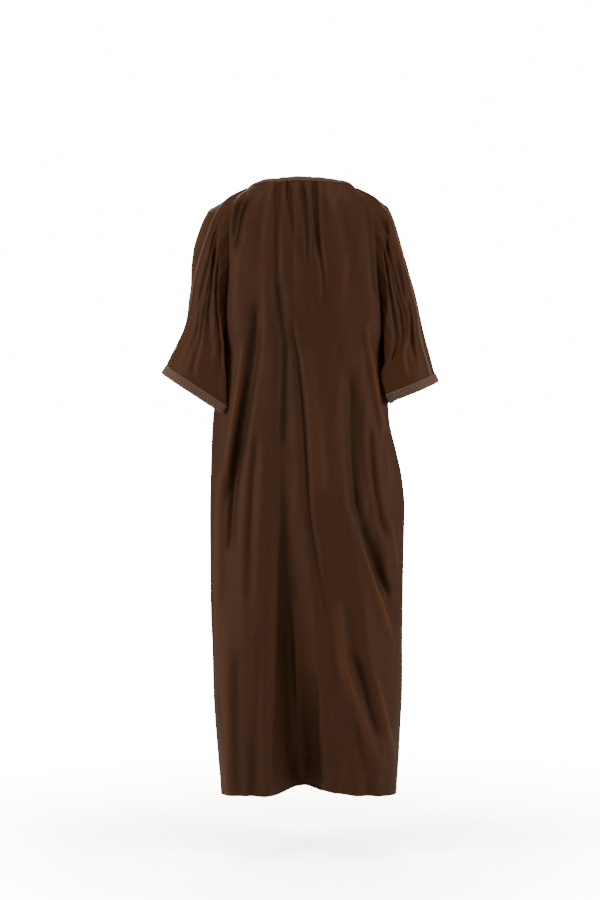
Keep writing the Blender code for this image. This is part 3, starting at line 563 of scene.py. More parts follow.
def fold_depth(folds, x, z):
    """Add up the depths of all folds at points of a panel."""
    depth = np.zeros_like(x)
    for fold in folds:
        t = np.clip((fold.top - z) / (fold.top - fold.bottom), 0.0, 1.0)
        centre = fold.x_top + (fold.x_bottom - fold.x_top) * t + fold.bow * np.sin(math.pi * t)
        deep = fold.deep_top + (fold.deep_bottom - fold.deep_top) * t ** fold.growth
        wide = fold.wide_top + (fold.wide_bottom - fold.wide_top) * t
        ends = np.minimum((fold.top - z) / FOLD_START, (z - fold.bottom) / FOLD_END)
        depth += deep * np.clip(ends, 0.0, 1.0) * np.exp(-(((x - centre) / wide) ** 2))
    return depth


def crease_depth(creases, across, down, fade, relief):
    """Add up the depths of all fine creases at points of a panel or a sleeve."""
    depth = np.zeros_like(across)
    for crease in creases:
        path = np.array(crease.path)
        slopes = steady_slopes(path)
        steps = np.linspace(0, len(path) - 1, CREASE_STEPS)
        dense = np.array([between_rows(path, slopes, step) for step in steps])
        centre = np.interp(down, dense[:, 1], dense[:, 0])
        deep = np.interp(down, dense[:, 1], dense[:, 2])
        wide = np.interp(down, dense[:, 1], dense[:, 3])
        ends = smooth_step((down - path[0, 1]) / fade) * smooth_step((path[-1, 1] - down) / fade)
        offset = (across - centre) / wide
        offset *= 1.0 + crease.lean * np.sign(offset)
        depth += relief * deep * ends * np.exp(-(offset ** 2))
    return depth


def wave_height(across, down):
    """Give the height of the cloth's slight unevenness at places on it."""
    height = np.zeros_like(across)
    for wave in WAVES:
        drift = WAVE_DRIFT * np.sin(down * WAVE_DRIFT_RATE + wave.phase)
        height += wave.height * np.sin(across * wave.across + down * wave.down + wave.phase + drift)
    return height


def panel_section(row, folds, side):
    """Give the dense outline of a panel at one row, from its left edge to its right edge."""
    edge_z, left_x, right_x, edge_y, mid_z, mid_y, squareness = row
    angle = np.linspace(0.0, math.pi, DENSE)
    power = 2.0 / squareness
    across = np.sign(np.cos(angle)) * np.abs(np.cos(angle)) ** power
    inward = np.abs(np.sin(angle)) ** power
    x = (left_x + right_x) / 2 + (left_x - right_x) / 2 * across
    y = edge_y + (mid_y - edge_y) * inward
    z = edge_z + (mid_z - edge_z) * inward
    fade = smooth_step((1.0 - np.abs(across)) / FOLD_EDGE_FADE)
    depth = fold_depth(folds, x, z) * fade
    near_hem = np.clip((HEM_RISE_TOP - z) / HEM_RISE_SPAN, 0.0, 1.0)
    rise = HEM_RISE * near_hem * np.clip(depth, 0.0, None)
    return np.column_stack((x, y - side * depth, z + rise))


def slit_gap(height):
    """Give how far a hand slit opens a side seam, at one height."""
    t = (SLIT_TOP - height) / (SLIT_TOP - SLIT_BOTTOM)
    if t <= 0.0 or t >= 1.0:
        return 0.0
    return SLIT_GAP * math.sin(math.pi * t) ** SLIT_ROUNDNESS


def panel_grid(upper, middle_name, folds, side, columns):
    """Give the outer face of a panel as rows of points, top row first.

    The left slit opens into the back panel and the right one into the front panel. The other
    panel's edge laps over the seam there, so that a view from the side never runs through both.
    """
    table = panel_table(upper, middle_name)
    slopes = steady_slopes(table)
    fractions = np.linspace(0.0, 1.0, columns + 1)
    rows = []
    for position in row_positions(panel_table(UPPER_BACK, "back_y")):
        outline = panel_section(between_rows(table, slopes, position), folds, side)
        gap = slit_gap(outline[0][2])
        opened, lapped = (0, -1) if side > 0.0 else (-1, 0)
        trims = [0.0, 0.0]
        trims[opened] = gap
        outline[lapped, 1] -= side * SLIT_LAP * gap
        rows.append(spread(outline, *trims, fractions))
    return np.array(rows)


def outward_normals(grid, closed, centre_line):
    """Give unit normals of a grid of points, away from the line down the middle of the piece."""
    down = np.gradient(grid, axis=0)
    if closed:
        along = (np.roll(grid, -1, axis=1) - np.roll(grid, 1, axis=1)) / 2
    else:
        along = np.gradient(grid, axis=1)
    normals = unit(np.cross(along, down))
    facing = np.sum(normals * (grid - centre_line), axis=2)
    return normals if np.sum(np.sign(facing)) > 0 else -normals


def distance_down(grid):
    """Give how far down its column each point of a grid lies."""
    steps = np.linalg.norm(np.diff(grid, axis=0), axis=2)
    return np.vstack((np.zeros((1, grid.shape[1])), np.cumsum(steps, axis=0)))


def make_panel(upper, middle_name, folds, creases, side, columns):
    """Work out a panel's outer face, its normals and the places of its points on the cloth."""
    base = panel_grid(upper, middle_name, folds, side, columns)
    normals = outward_normals(base, False, np.zeros(3))
    across = np.array([running_length(row) for row in base])
    to_edge = np.minimum(across, across[:, -1:] - across)
    across -= across[:, -1:] / 2
    down = distance_down(base)
    to_hem = down[-1] - down
    depth = crease_depth(creases, base[:, :, 0], -base[:, :, 2], PANEL_CREASE_FADE, PANEL_RELIEF)
    # Painted shade: the creases darken the colour in their troughs and paint a highlight on their ridges.
    shade = np.clip(depth / PAINTED_SHADE_DEPTH, -1.0, 1.0)
    depth -= wave_height(across, down)
    depth *= smooth_step(to_edge / PANEL_EDGE_FADE)
    depth += SEAM_SINK * np.exp(-((to_edge / SEAM_SINK_WIDTH) ** 2))
    depth -= HEM_THICKENING * smooth_step((HEM_DEPTH + HEM_EASE - to_hem) / (2 * HEM_EASE))
    depth += HEM_THICKENING * np.exp(-(((to_hem - HEM_DEPTH) / HEM_LINE_WIDTH) ** 2))
    grid = base - normals * depth[:, :, None]
    return Piece(grid, outward_normals(grid, False, np.zeros(3)), across, down, shade)


def armhole_ring(back, front, left):
    """Give the points round an armhole: up the back, over the neck and down the front."""
    edge = 0 if left else -1
    up_back = back[UPPER_ROWS::-1, edge].copy()
    down_front = front[:UPPER_ROWS + 1, edge]
    up_back[0] = (up_back[0] + down_front[-1]) / 2
    t = np.linspace(0.0, 1.0, NECK_POINTS + 2)[1:-1, None]
    over = up_back[-1] + (down_front[0] - up_back[-1]) * t
    over[:, 2] += NECK_END_RISE * np.sin(math.pi * t[:, 0])
    return np.vstack((up_back, over, down_front[:-1]))


def ring_lengths(ring):
    """Give the length round a ring up to each of its points, and last the whole length."""
    return running_length(np.vstack((ring, ring[:1])))


def ring_fractions(seam, weight):
    """Blend the spacing of an armhole seam with an even spacing, by a weight from 0 to 1."""
    count = len(seam)
    half = count // 2
    length = ring_lengths(seam)
    up = length[: half + 1] / length[half]
    down = 1.0 - (length[half + 1: count] - length[half]) / (length[-1] - length[half])
    own = np.concatenate((up, down))
    even = 1.0 - np.abs(np.arange(count) / half - 1.0)
    return own + (even - own) * weight


def round_fractions(ring):
    """Give where each point of a ring lies round it: 0 at the underarm and 0.5 at the top."""
    half = len(ring) // 2
    length = ring_lengths(ring)
    first = 0.5 * length[: half + 1] / length[half]
    second = 0.5 + 0.5 * (length[half + 1: -1] - length[half]) / (length[-1] - length[half])
    return np.concatenate((first, second))


def ring_points(ring, fractions):
    """Give the points of a sleeve ring at fractions of the way from its lowest point to its top."""
    top = np.array((ring.top_x, ring.top_y, ring.top_z))
    low = np.array((ring.low_x, ring.low_y, ring.low_z))
    angle = np.linspace(0.0, math.pi, DENSE)[:, None]
    power = 2.0 / ring.squareness
    rise = -np.sign(np.cos(angle)) * np.abs(np.cos(angle)) ** power
    out = np.abs(np.sin(angle)) ** power * np.array((0.0, 1.0, 0.0))
    middle = (top + low) / 2 + rise * (top - low) / 2
    hang = np.sin(math.pi * np.clip((angle - HANG_START) / HANG_SPAN, 0.0, 1.0)) ** 2
    inwards = np.array((-math.copysign(ring.tuck, ring.top_x), 0.0, -ring.drop))
    over_back = middle + out * ring.back_bulge + hang * inwards
    over_front = middle - out * ring.front_bulge
    outline = np.vstack((over_back, over_front[-2::-1]))
    total = running_length(outline)[-1]
    split = running_length(over_back)[-1] - ring.turn
    half = len(fractions) // 2
    first = split * fractions[: half + 1]
    second = total - (total - split) * fractions[half + 1:]
    return at_lengths(outline, np.concatenate((first, second)))


def shoulder_rings(seam, first, fractions):
    """Give the rings between the armhole seam and the arm's first ring, raised at the top.

    Each is a blend of the two, with its own share of the first ring's turn.
    """
    rings = []
    for share, turn_share in SHOULDER_BLENDS:
        arm = ring_points(first._replace(turn=first.turn * turn_share), fractions)
        ring = seam + (arm - seam) * share
        below = ring[:, 2].max() - ring[:, 2]
        rise = SHOULDER_RISE * 4.0 * share * (1.0 - share)
        ring[:, 2] += rise * np.exp(-((below / SHOULDER_RISE_WIDTH) ** 2))
        rings.append(ring)
    return rings


def sleeve_fold_depth(folds, along, around):
    """Give the depth of the sleeve folds at each point of a sleeve grid."""
    depth = np.zeros_like(around)
    for fold in folds:
        t = np.clip((along - fold.start) / (fold.end - fold.start), 0.0, 1.0)
        centre = fold.start_round + (fold.end_round - fold.start_round) * t
        ends = np.minimum(along - fold.start, fold.end - along) / SLEEVE_FOLD_FADE
        depth += fold.deep * np.clip(ends, 0.0, 1.0) * np.exp(-(((around - centre) / fold.wide) ** 2))
    return depth


def sleeve_base(seam, rings):
    """Give the smooth outer face of a sleeve, and how far along it each of its rings lies."""
    controls = [seam] + shoulder_rings(seam, rings[0], ring_fractions(seam, 1.0 / len(rings)))
    for index, ring in enumerate(rings):
        weight = (index + 1) / len(rings)
        controls.append(ring_points(ring, ring_fractions(seam, weight)))
    end = controls[-1]
    last = rings[-1]
    chord = (last.top_x - last.low_x, last.top_y - last.low_y, last.top_z - last.low_z)
    axis = unit(np.cross(chord, (0.0, 1.0, 0.0)))
    controls[-1] = end + axis * CUFF_ZONE * np.sign(axis[2])
    controls = np.array(controls)
    slopes = np.gradient(controls, axis=0)
    positions = np.linspace(0.0, len(controls) - 1, SLEEVE_ROWS + 1)
    rows = [between_rows(controls, slopes, position) for position in positions]
    cuff_steps = np.linspace(0.0, 1.0, CUFF_ROWS + 1)[1:]
    rows += [rows[-1] + (end - rows[-1]) * step for step in cuff_steps]
    along = np.concatenate((np.linspace(0.0, 1.0, SLEEVE_ROWS + 1), np.ones(len(cuff_steps))))
    return np.array(rows), along[:, None]


def make_sleeve(left, rings, folds, creases, back, front):
    """Work out a sleeve's outer face, its normals and the places of its points on the cloth."""
    base, along = sleeve_base(armhole_ring(back.grid, front.grid, left), rings)
    around = np.array([round_fractions(ring) for ring in base])
    length = np.array([ring_lengths(ring)[:-1] for ring in base])
    down = distance_down(base)
    normals = outward_normals(base, True, base.mean(axis=1, keepdims=True))
    depth = sleeve_fold_depth(folds, along, around)
    along_all = along + np.zeros_like(around)
    fine = crease_depth(creases, around, along_all, SLEEVE_CREASE_FADE, SLEEVE_RELIEF)
    # Painted shade: the sleeve's folds and creases darken its colour where they sink and paint a highlight
    # where they rise.
    shade = np.clip((depth + fine) / PAINTED_SHADE_DEPTH, -1.0, 1.0)
    fine -= wave_height(length, down)
    to_cuff = down[-1] - down - SLEEVE_CUFF_PLAIN
    near_end = smooth_step(down / SLEEVE_SEAM_FADE) * smooth_step(to_cuff / SLEEVE_CUFF_FADE)
    depth = (depth + fine) * near_end
    grid = base - normals * depth[:, :, None]
    normals = outward_normals(grid, True, grid.mean(axis=1, keepdims=True))
    return Piece(grid, normals, length, down, shade * near_end)


def wall_faces(rows, columns, closed):
    """Give the faces of a closed wall between two grids of points, as rows of corner numbers."""
    number = np.arange(rows * columns).reshape(rows, columns)
    if closed:
        number = np.hstack((number, number[:, :1]))
    first, second = number[:-1, :-1], number[:-1, 1:]
    third, fourth = number[1:, 1:], number[1:, :-1]
    outside = np.stack((first, second, third, fourth), axis=-1).reshape(-1, 4)
    inside = outside[:, ::-1] + rows * columns
    top, bottom = number[0], number[-1]
    edges = [(top[1:], top[:-1]), (bottom[:-1], bottom[1:])]
    if not closed:
        left_edge, right_edge = number[:, 0], number[:, -1]
        edges += [(left_edge[:-1], left_edge[1:]), (right_edge[1:], right_edge[:-1])]
    far = rows * columns
    rims = [np.stack((start, end, end + far, start + far), axis=-1) for start, end in edges]
    return np.vstack([outside, inside] + rims)


def wall_object(name, outer, inner, across, down, shade, closed):
    """Make a closed wall from matching grids, with each point's place and painted shade kept on it."""
    rows, columns = outer.shape[:2]
    points = np.vstack((outer.reshape(-1, 3), inner.reshape(-1, 3)))
    mesh = bpy.data.meshes.new(name)
    mesh.from_pydata(points.tolist(), [], wall_faces(rows, columns, closed).tolist())
    face = mesh.polygons[0]
    middle = (outer - inner)[0, :2].sum(axis=0)
    if face.normal.dot(Vector(middle)) < 0.0:
        mesh.flip_normals()
    place = np.zeros((2, rows * columns, 3))
    place[:, :, 0] = across.reshape(-1)
    place[:, :, 1] = down.reshape(-1)
    # The third part is the painted shade of the cloth's troughs and ridges.
    place[:, :, 2] = shade.reshape(-1)
    kept = mesh.attributes.new("place", "FLOAT_VECTOR", "POINT")
    kept.data.foreach_set("vector", place.astype(np.float32).ravel())
    mesh.shade_smooth()
    made = bpy.data.objects.new(name, mesh)
    bpy.context.scene.collection.objects.link(made)
    return made


def cloth_object(name, piece, closed):
    """Make a panel or a sleeve as a thin wall that grows inwards from its outer face."""
    inner = piece.grid - piece.normals * CLOTH_WALL
    return wall_object(name, piece.grid, inner, piece.across, piece.down, piece.shade, closed)


def braid_object(name, rows, normals, closed, height):
    """Make a braid with soft edges on rows of points of the cloth, each row a line along it."""
    lines = len(rows)
    across = np.linspace(-1.0, 1.0, lines)
    crown = (1.0 - np.abs(across) ** BRAID_EDGE_POWER) * (1.0 - BRAID_EDGE) + BRAID_EDGE
    outer = rows + normals * (BRAID_BASE + crown[:, None] * height)[:, :, None]
    inner = rows + normals * BRAID_BASE
    along = np.array([running_length(line) for line in rows])
    along = np.repeat(along.mean(axis=0)[None], lines, axis=0)
    place = np.repeat(across[:, None], rows.shape[1], axis=1)
    return wall_object(name, outer, inner, along, place, np.zeros_like(along), closed)


def braid_heights(distance):
    """Give a braid's height at distances from the corner of the neck: it stands higher there."""
    near = 1.0 - smooth_step(distance / BRAID_NECK_REACH)
    return BRAID_HEIGHT + (BRAID_NECK_HEIGHT - BRAID_HEIGHT) * near


def neckband_rows(back, front, sleeve_left, sleeve_right):
    """Give the lines of points and normals that the braid round the neck lies on."""
    sleeve_columns = list(range(UPPER_ROWS, UPPER_ROWS + NECK_POINTS + 2))
    threads = [(back, column) for column in range(BACK_COLUMNS + 1)]
    threads += [(sleeve_right, column) for column in sleeve_columns[1:-1]]
    threads += [(front, column) for column in range(FRONT_COLUMNS, -1, -1)]
    threads += [(sleeve_left, column) for column in sleeve_columns[-2:0:-1]]
    depths = np.linspace(0.0, NECKBAND_WIDTH, BRAID_LINES)
    rows = np.array([at_lengths(piece.grid[:, column], depths) for piece, column in threads])
    near_edge = [piece.normals[:NECK_ROWS, column].mean(axis=0) for piece, column in threads]
    normals = np.array(near_edge)
    steps = range(-BRAID_SMOOTHING, BRAID_SMOOTHING + 1)
    calm = sum(np.roll(normals, step, axis=0) for step in steps)
    return rows.transpose(1, 0, 2), unit(calm)[None]


def shoulder_braid_rows(sleeve, shifts):
    """Give the lines of points and normals that the braid down the top of a sleeve lies on."""
    share = running_length(sleeve.grid[:, TOP_OF_SLEEVE])
    share /= share[-1]
    shift = np.interp(share, *np.array(shifts).T)
    window = np.ones(2 * BRAID_SMOOTHING + 1) / (2.0 * BRAID_SMOOTHING + 1.0)
    shift = np.convolve(np.pad(shift, BRAID_SMOOTHING, mode="edge"), window, mode="valid")
    beside = np.linspace(-0.5, 0.5, BRAID_LINES) * SHOULDER_BRAID_WIDTH
    reach = slice(TOP_OF_SLEEVE - BRAID_REACH, TOP_OF_SLEEVE + BRAID_REACH + 1)
    rows, normals = [], []
    for row in range(len(share)):
        length = running_length(sleeve.grid[row, reach])
        places = length[BRAID_REACH] - shift[row] + beside
        rows.append(read_at(sleeve.grid[row, reach], length, places))
        normals.append(read_at(sleeve.normals[row, reach], length, places))
    lines = np.array(rows).transpose(1, 0, 2)
    middle = running_length(lines[BRAID_LINES // 2])
    wanted = np.linspace(NECKBAND_WIDTH * BRAID_START, middle[-1] - CUFF_BAND_WIDTH, len(middle))
    position = np.interp(wanted, middle, np.arange(len(middle)))
    lifts = np.array(normals).transpose(1, 0, 2)
    return read_lines(lines, position), unit(read_lines(lifts, position))


def read_lines(lines, position):
    """Read lines of points at fractional places along them."""
    low = np.minimum(position.astype(int), lines.shape[1] - 2)
    part = (position - low)[None, :, None]
    return lines[:, low] * (1.0 - part) + lines[:, low + 1] * part


def cuff_band_rows(sleeve):
    """Give the lines of points and normals that the braid round the end of a sleeve lies on."""
    end = sleeve.grid[-1]
    away = unit(sleeve.grid[-1 - CUFF_ROWS] - end)
    steps = np.linspace(CUFF_BAND_WIDTH, 0.0, BRAID_LINES)
    rows = end + away * steps[:, None, None]
    return rows, sleeve.normals[-1][None]


def stitches(name, lines):
    """Make rows of small stitches, each line a pair of points and normals along which they lie."""
    angle = np.linspace(0.0, 2.0 * math.pi, STITCH_SIDES, endpoint=False)
    points, faces = [], []
    for line, normals in lines:
        length = running_length(line)
        starts = np.arange(STITCH_SPACING, length[-1] - STITCH_SPACING, STITCH_SPACING)
        for start in starts:
            places = start + STITCH_LENGTH * np.array(STITCH_SHARES)
            middle = at_lengths(line, places)
            lift = unit(read_at(normals, length, places))
            along = unit(middle[-1] - middle[0])
            beside = unit(np.cross(along, lift))
            thick = STITCH_RADIUS * np.array(STITCH_THICKNESS)
            high = STITCH_RADIUS * np.array(STITCH_HEIGHTS)
            first = len(points)
            for spot in range(len(places)):
                centre = middle[spot] + lift[spot] * high[spot]
                for turn in angle:
                    ring = beside[spot] * math.cos(turn) + lift[spot] * math.sin(turn)
                    points.append(centre + ring * thick[spot])
            for spot in range(len(places) - 1):
                for side in range(STITCH_SIDES):
                    a = first + spot * STITCH_SIDES + side
                    b = first + spot * STITCH_SIDES + (side + 1) % STITCH_SIDES
                    faces.append((a, b, b + STITCH_SIDES, a + STITCH_SIDES))
            faces.append(tuple(range(first + STITCH_SIDES - 1, first - 1, -1)))
            last = first + (len(places) - 1) * STITCH_SIDES
            faces.append(tuple(range(last, last + STITCH_SIDES)))
    mesh = bpy.data.meshes.new(name)
    mesh.from_pydata([tuple(point) for point in points], [], faces)
    mesh.shade_smooth()
    made = bpy.data.objects.new(name, mesh)
    bpy.context.scene.collection.objects.link(made)
    return made


def hem_line(panel):
    """Give the points and normals of the stitched line above a panel's hem."""
    row = len(panel.grid) - 1 - HEM_LEVELS[::-1].index(HEM_DEPTH)
    return panel.grid[row], panel.normals[row]


def linear(colour):
    """Turn a 0 to 255 screen colour into the linear values that a shader takes."""
    parts = [channel / 255.0 for channel in colour]
    return tuple(p / 12.92 if p <= 0.04045 else ((p + 0.055) / 1.055) ** 2.4 for p in parts)


class Nodes:
    """Small helper that adds and links the nodes of one material."""

    def __init__(self, name):
        self.material = bpy.data.materials.new(name)
        self.material.use_nodes = True
        self.tree = self.material.node_tree
        self.shader = self.tree.nodes["Principled BSDF"]

    def link(self, value, socket):
        """Set a socket to a number or a colour, or link a node's output to it."""
        if isinstance(value, bpy.types.NodeSocket):
            self.tree.links.new(value, socket)
        else:
            socket.default_value = value

    def place(self):
        """Read each point's place on the cloth: across, down, and the painted shade of its fold."""
        node = self.tree.nodes.new("ShaderNodeAttribute")
        node.attribute_name = "place"
        return node.outputs["Vector"]

    def scaled(self, vector, scale):
        """Scale a vector along its axes."""
        node = self.tree.nodes.new("ShaderNodeVectorMath")
        node.operation = "MULTIPLY"
        self.link(vector, node.inputs[0])
        node.inputs[1].default_value = scale
        return node.outputs[0]

    def noise(self, vector, scale, detail=2.0, roughness=0.5):
        """Add a noise texture and give its grey value."""
        node = self.tree.nodes.new("ShaderNodeTexNoise")
        self.link(vector, node.inputs["Vector"])
        node.inputs["Scale"].default_value = scale
        node.inputs["Detail"].default_value = detail
        node.inputs["Roughness"].default_value = roughness
        return node.outputs[0]

    def math(self, operation, first, second=0.0, third=0.0):
        """Add a math node."""
        node = self.tree.nodes.new("ShaderNodeMath")
        node.operation = operation
        self.link(first, node.inputs[0])
        self.link(second, node.inputs[1])
        self.link(third, node.inputs[2])
        return node.outputs[0]

    def wave(self, value, rate):
        """Add a sine wave that runs along a value."""
        return self.math("SINE", self.math("MULTIPLY", value, rate))

    def parts(self, vector):
        """Split a vector into its three parts."""
        node = self.tree.nodes.new("ShaderNodeSeparateXYZ")
        self.link(vector, node.inputs[0])
        return node.outputs

    def spread(self, value, low, high, to_low=0.0, to_high=1.0):
        """Map a value from one range to another, held at the ends."""
        node = self.tree.nodes.new("ShaderNodeMapRange")
        self.link(value, node.inputs["Value"])
        self.link(low, node.inputs["From Min"])
        self.link(high, node.inputs["From Max"])
        self.link(to_low, node.inputs["To Min"])
        self.link(to_high, node.inputs["To Max"])
        return node.outputs["Result"]

    def mix(self, factor, first, second):
        """Mix two colours."""
        node = self.tree.nodes.new("ShaderNodeMix")
        node.data_type = "RGBA"
        self.link(factor, node.inputs["Factor"])
        self.link(first, node.inputs[6])
        self.link(second, node.inputs[7])
        return node.outputs[2]

    def bump(self, height, distance, normal=None):
        """Add a bump node of a set depth in metres."""
        node = self.tree.nodes.new("ShaderNodeBump")
        self.link(height, node.inputs["Height"])
        node.inputs["Distance"].default_value = distance
        if normal is not None:
            self.link(normal, node.inputs["Normal"])
        return node.outputs[0]


def colour(values):
    """Give a screen colour as a shader's four values."""
    return (*linear(values), 1.0)


def cloth_material(name, shades, painted_highlight_share):
    """Make the robe's fine plain-woven cloth, with uneven yarns and a soft warm sheen.

    Its colour is painted darker in its troughs, as painted shade, and lighter on its ridges, as a
    painted highlight.
    """
    nodes = Nodes(name)
    place = nodes.place()
    across, down, painted_shade_level = nodes.parts(place)
    warp = nodes.noise(nodes.scaled(place, WARP_SCALE), 1.0)
    weft = nodes.noise(nodes.scaled(place, WEFT_SCALE), 1.0)
    patches = nodes.noise(nodes.scaled(place, PATCH_SCALE), 1.0, 3.0)
    yarn = nodes.math("ADD", nodes.math("MULTIPLY", warp, 0.55), nodes.math("MULTIPLY", weft, 0.45))
    tone = nodes.spread(yarn, 0.30, 0.70)
    base = nodes.mix(tone, *map(colour, shades))
    patched = nodes.mix(nodes.spread(patches, 0.35, 0.65, 0.0, 0.22), base, colour(CLOTH_WARM))
    # Painted shade darkens the colour in the troughs, and a painted highlight lightens it on the ridges.
    painted_shade_mix = nodes.spread(painted_shade_level, 0.0, 0.9, 0.0, FOLD_PAINTED_SHADE_SHARE)
    painted_highlight_mix = nodes.spread(painted_shade_level, 0.0, -0.9, 0.0, painted_highlight_share)
    painted_light_colour = nodes.mix(painted_highlight_mix, nodes.mix(painted_shade_mix, patched, colour(FOLD_PAINTED_SHADE)), colour(FOLD_PAINTED_HIGHLIGHT))
    nodes.link(painted_light_colour, nodes.shader.inputs["Base Color"])
    nodes.link(nodes.spread(yarn, 0.3, 0.7, 0.56, 0.66), nodes.shader.inputs["Roughness"])
    threads = nodes.math("ADD", nodes.wave(across, CLOTH_THREADS), nodes.wave(down, CLOTH_THREADS))
    fine = nodes.bump(nodes.math("MULTIPLY", threads, 0.25), CLOTH_THREAD_DEPTH)
    slub = nodes.bump(yarn, CLOTH_SLUB_DEPTH, fine)
    nodes.link(slub, nodes.shader.inputs["Normal"])
    nodes.shader.inputs["Specular IOR Level"].default_value = 0.22
    nodes.shader.inputs["Specular Tint"].default_value = colour(SPECULAR_WARM)
    nodes.shader.inputs["Sheen Weight"].default_value = 0.07
    nodes.shader.inputs["Sheen Roughness"].default_value = 0.35
    nodes.shader.inputs["Sheen Tint"].default_value = colour(SHEEN_WARM)
    return nodes.material


def braid_material(name, period):
    """Make the taupe jacquard braid: small lozenges in two yarns between plain edges."""
    nodes = Nodes(name)
    place = nodes.place()
    along, across = nodes.parts(place)[:2]
    turn = nodes.math("FRACT", nodes.math("DIVIDE", along, period))
    from_middle = nodes.math("ABSOLUTE", nodes.math("SUBTRACT", turn, 0.5))
    along_part = nodes.math("MULTIPLY", from_middle, 2.0)
    across_part = nodes.math("ABSOLUTE", across)
    lozenge = nodes.math("ADD", along_part, nodes.math("MULTIPLY", across_part, LOZENGE_WIDTH))
    ring = nodes.math("ABSOLUTE", nodes.math("SUBTRACT", nodes.math("FRACT", lozenge), 0.5))
    figure = nodes.spread(ring, 0.12, 0.30)
    edge = nodes.spread(across_part, 0.76, 0.84)
    yarns = nodes.noise(nodes.scaled(place, BRAID_YARN_SCALE), 1.0, 3.0)
    mottle = nodes.noise(nodes.scaled(place, BRAID_MOTTLE_SCALE), 1.0, 2.0)
    ground = nodes.mix(nodes.spread(yarns, 0.35, 0.65), *map(colour, BRAID_LIGHT))
    dark = nodes.mix(nodes.spread(yarns, 0.35, 0.65), *map(colour, BRAID_DARK))
    shown = nodes.math("MULTIPLY", figure, nodes.spread(mottle, 0.30, 0.62, 0.35, 1.0))
    pattern = nodes.mix(shown, dark, ground)
    finished = nodes.mix(nodes.math("MULTIPLY", edge, 0.8), pattern, colour(BRAID_EDGING))
    nodes.link(finished, nodes.shader.inputs["Base Color"])
    nodes.shader.inputs["Roughness"].default_value = 0.62
    ribs = nodes.wave(along, BRAID_RIBS)
    relief = nodes.math("ADD", nodes.math("MULTIPLY", figure, 0.6), nodes.math("MULTIPLY", ribs, 0.16))
    relief = nodes.math("ADD", relief, nodes.math("MULTIPLY", yarns, 0.5))
    nodes.link(nodes.bump(relief, BRAID_DEPTH), nodes.shader.inputs["Normal"])
    nodes.shader.inputs["Specular IOR Level"].default_value = 0.35
    nodes.shader.inputs["Sheen Weight"].default_value = 0.20
    nodes.shader.inputs["Sheen Tint"].default_value = colour(BRAID_SHEEN)
    return nodes.material


def thread_material():
    """Make the sewing thread's finish."""
    nodes = Nodes("thread")
    spot = nodes.tree.nodes.new("ShaderNodeTexCoord").outputs["Object"]
    shade = nodes.mix(nodes.noise(spot, THREAD_TWIST), *map(colour, THREAD_SHADES))
    nodes.link(shade, nodes.shader.inputs["Base Color"])
    nodes.shader.inputs["Roughness"].default_value = 0.5
    return nodes.material


def finish_piece(made, material, slot, *replaced):
    """Give a piece its material and body, and hide the solids that it stands for. Its slot is not used."""
    made.data.materials.append(material)
    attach(made, "root")
    if replaced:
        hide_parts(*replaced)
    return made


def add_camera():
    """Stand the camera behind the robe, at the photograph's viewing angle."""
    lens = bpy.data.cameras.new("camera")
    lens.lens = CAMERA_LENS
    lens.sensor_width = CAMERA_SENSOR
    camera = bpy.data.objects.new("camera", lens)
    camera.location = CAMERA_PLACE
    camera.rotation_euler = (math.pi / 2 - CAMERA_TILT, 0.0, math.pi)
    bpy.context.scene.collection.objects.link(camera)
    bpy.context.scene.camera = camera


def add_light(lamp):
    """Add a soft square light that faces a point."""
    glow = bpy.data.lights.new(lamp.name, "AREA")
    glow.size = lamp.size
    glow.energy = lamp.power
    glow.color = lamp.tint
    light = bpy.data.objects.new(lamp.name, glow)
    light.location = lamp.place
    towards = Vector(lamp.aim) - Vector(lamp.place)
    light.rotation_euler = towards.to_track_quat("-Z", "Y").to_euler()
    bpy.context.scene.collection.objects.link(light)


def floor_material():
    """Make the pale floor, shown near white under the soft light as on the photograph."""
    nodes = Nodes("pale_floor")
    tree = nodes.tree
    tree.nodes.remove(nodes.shader)
    path = tree.nodes.new("ShaderNodeLightPath")
    place = tree.nodes.new("ShaderNodeTexCoord").outputs["Object"]
    reach = tree.nodes.new("ShaderNodeVectorMath")
    reach.operation = "LENGTH"
    tree.links.new(place, reach.inputs[0])
    shown = nodes.spread(reach.outputs["Value"], FLOOR_NEAR, FLOOR_FAR, FLOOR_SHOWN, FLOOR_SHOWN_FAR)
    level = nodes.spread(path.outputs["Is Camera Ray"], 0.0, 1.0, FLOOR_ALBEDO, shown)
    paper = tree.nodes.new("ShaderNodeBsdfDiffuse")
    shade = tree.nodes.new("ShaderNodeCombineColor")
    for channel in range(3):
        tree.links.new(level, shade.inputs[channel])
    tree.links.new(shade.outputs[0], paper.inputs["Color"])
    tree.links.new(paper.outputs[0], tree.nodes["Material Output"].inputs["Surface"])
    return nodes.material


def add_surround():
    """Add the surrounding light, shown white."""
    world = bpy.data.worlds.new("studio")
    world.use_nodes = True
    surround = world.node_tree.nodes["Background"]
    surround.inputs["Color"].default_value = (1.0, 1.0, 1.0, 1.0)
    path = world.node_tree.nodes.new("ShaderNodeLightPath")
    level = world.node_tree.nodes.new("ShaderNodeMapRange")
    level.inputs["To Min"].default_value = SURROUND_LIGHT
    level.inputs["To Max"].default_value = WHITE_LEVEL
    world.node_tree.links.new(path.outputs["Is Camera Ray"], level.inputs["Value"])
    world.node_tree.links.new(level.outputs["Result"], surround.inputs["Strength"])
    bpy.context.scene.world = world


def add_floor():
    """Add the pale floor."""
    corners = [(x * FLOOR_HALF_SIDE, y * FLOOR_HALF_SIDE, 0.0) for x, y in FLOOR_CORNERS]
    mesh = bpy.data.meshes.new("floor")
    mesh.from_pydata(corners, [], [(0, 1, 2, 3)])
    floor = bpy.data.objects.new("floor", mesh)
    floor.location.z = FLOOR_HEIGHT
    mesh.materials.append(floor_material())
    bpy.context.scene.collection.objects.link(floor)


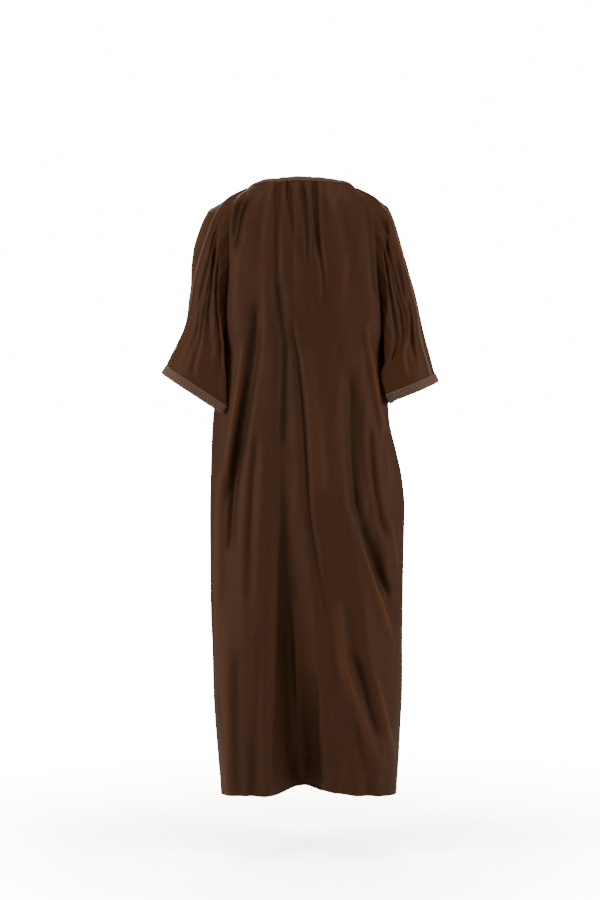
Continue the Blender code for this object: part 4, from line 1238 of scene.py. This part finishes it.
def build_robe():
    """Build the robe's pieces around the frame and give each its finish."""
    back = make_panel(UPPER_BACK, "back_y", BACK_FOLDS, BACK_CREASES, 1.0, BACK_COLUMNS)
    front = make_panel(UPPER_FRONT, "front_y", FRONT_FOLDS, FRONT_CREASES, -1.0, FRONT_COLUMNS)
    left = make_sleeve(True, LEFT_SLEEVE, LEFT_SLEEVE_FOLDS, LEFT_SLEEVE_CREASES, back, front)
    right = make_sleeve(False, RIGHT_SLEEVE, RIGHT_SLEEVE_FOLDS, RIGHT_SLEEVE_CREASES, back, front)
    body_cloth = cloth_material("body_cloth", BODY_SHADES, BODY_PAINTED_HIGHLIGHT_SHARE)
    sleeve_cloth = cloth_material("sleeve_cloth", SLEEVE_SHADES, SLEEVE_PAINTED_HIGHLIGHT_SHARE)
    narrow_braid = braid_material("narrow_braid", NARROW_REPEAT)
    wide_braid = braid_material("wide_braid", WIDE_REPEAT)
    thread = thread_material()
    for name, piece, closed, material in (
        ("back", back, False, body_cloth),
        ("front", front, False, body_cloth),
        ("sleeve_left", left, True, sleeve_cloth),
        ("sleeve_right", right, True, sleeve_cloth),
    ):
        made = cloth_object(name + "_shell", piece, closed)
        finish_piece(made, material, "cloth", name)
    rows, normals = neckband_rows(back, front, left, right)
    to_corner = np.abs(np.abs(rows[0, :, 0]) - rows[0, :, 0].max())
    lift = (BRAID_HEIGHT + braid_heights(to_corner)) / 2
    neckband = braid_object("neckband_weave", rows, normals, True, lift)
    finish_piece(neckband, narrow_braid, "braid", "neckband")
    trims = {"left": [], "right": []}
    for side, sleeve in (("left", left), ("right", right)):
        rows, normals = shoulder_braid_rows(sleeve, BRAID_SHIFTS[side])
        height = braid_heights(running_length(rows[0]))
        made = braid_object("shoulder_braid_" + side + "_weave", rows, normals, False, height)
        trims[side].append(finish_piece(made, narrow_braid, "braid", "shoulder_braid_" + side))
        rows, normals = cuff_band_rows(sleeve)
        height = np.full(rows.shape[1], BRAID_HEIGHT)
        made = braid_object("cuff_band_" + side + "_weave", rows, normals, True, height)
        trims[side].append(finish_piece(made, wide_braid, "braid", "cuff_band_" + side))
    hem = stitches("hem_stitching", [hem_line(back), hem_line(front)])
    finish_piece(hem, thread, "cloth")


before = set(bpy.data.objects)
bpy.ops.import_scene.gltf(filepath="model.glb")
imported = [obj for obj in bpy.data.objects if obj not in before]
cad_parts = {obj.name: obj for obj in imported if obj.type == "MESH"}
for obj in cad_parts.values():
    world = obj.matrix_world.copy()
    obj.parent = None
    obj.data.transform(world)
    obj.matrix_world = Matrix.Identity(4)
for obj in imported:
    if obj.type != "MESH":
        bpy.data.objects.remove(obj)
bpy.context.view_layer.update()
add_camera()
add_surround()
add_floor()
for lamp in LAMPS:
    add_light(lamp)
build_robe()
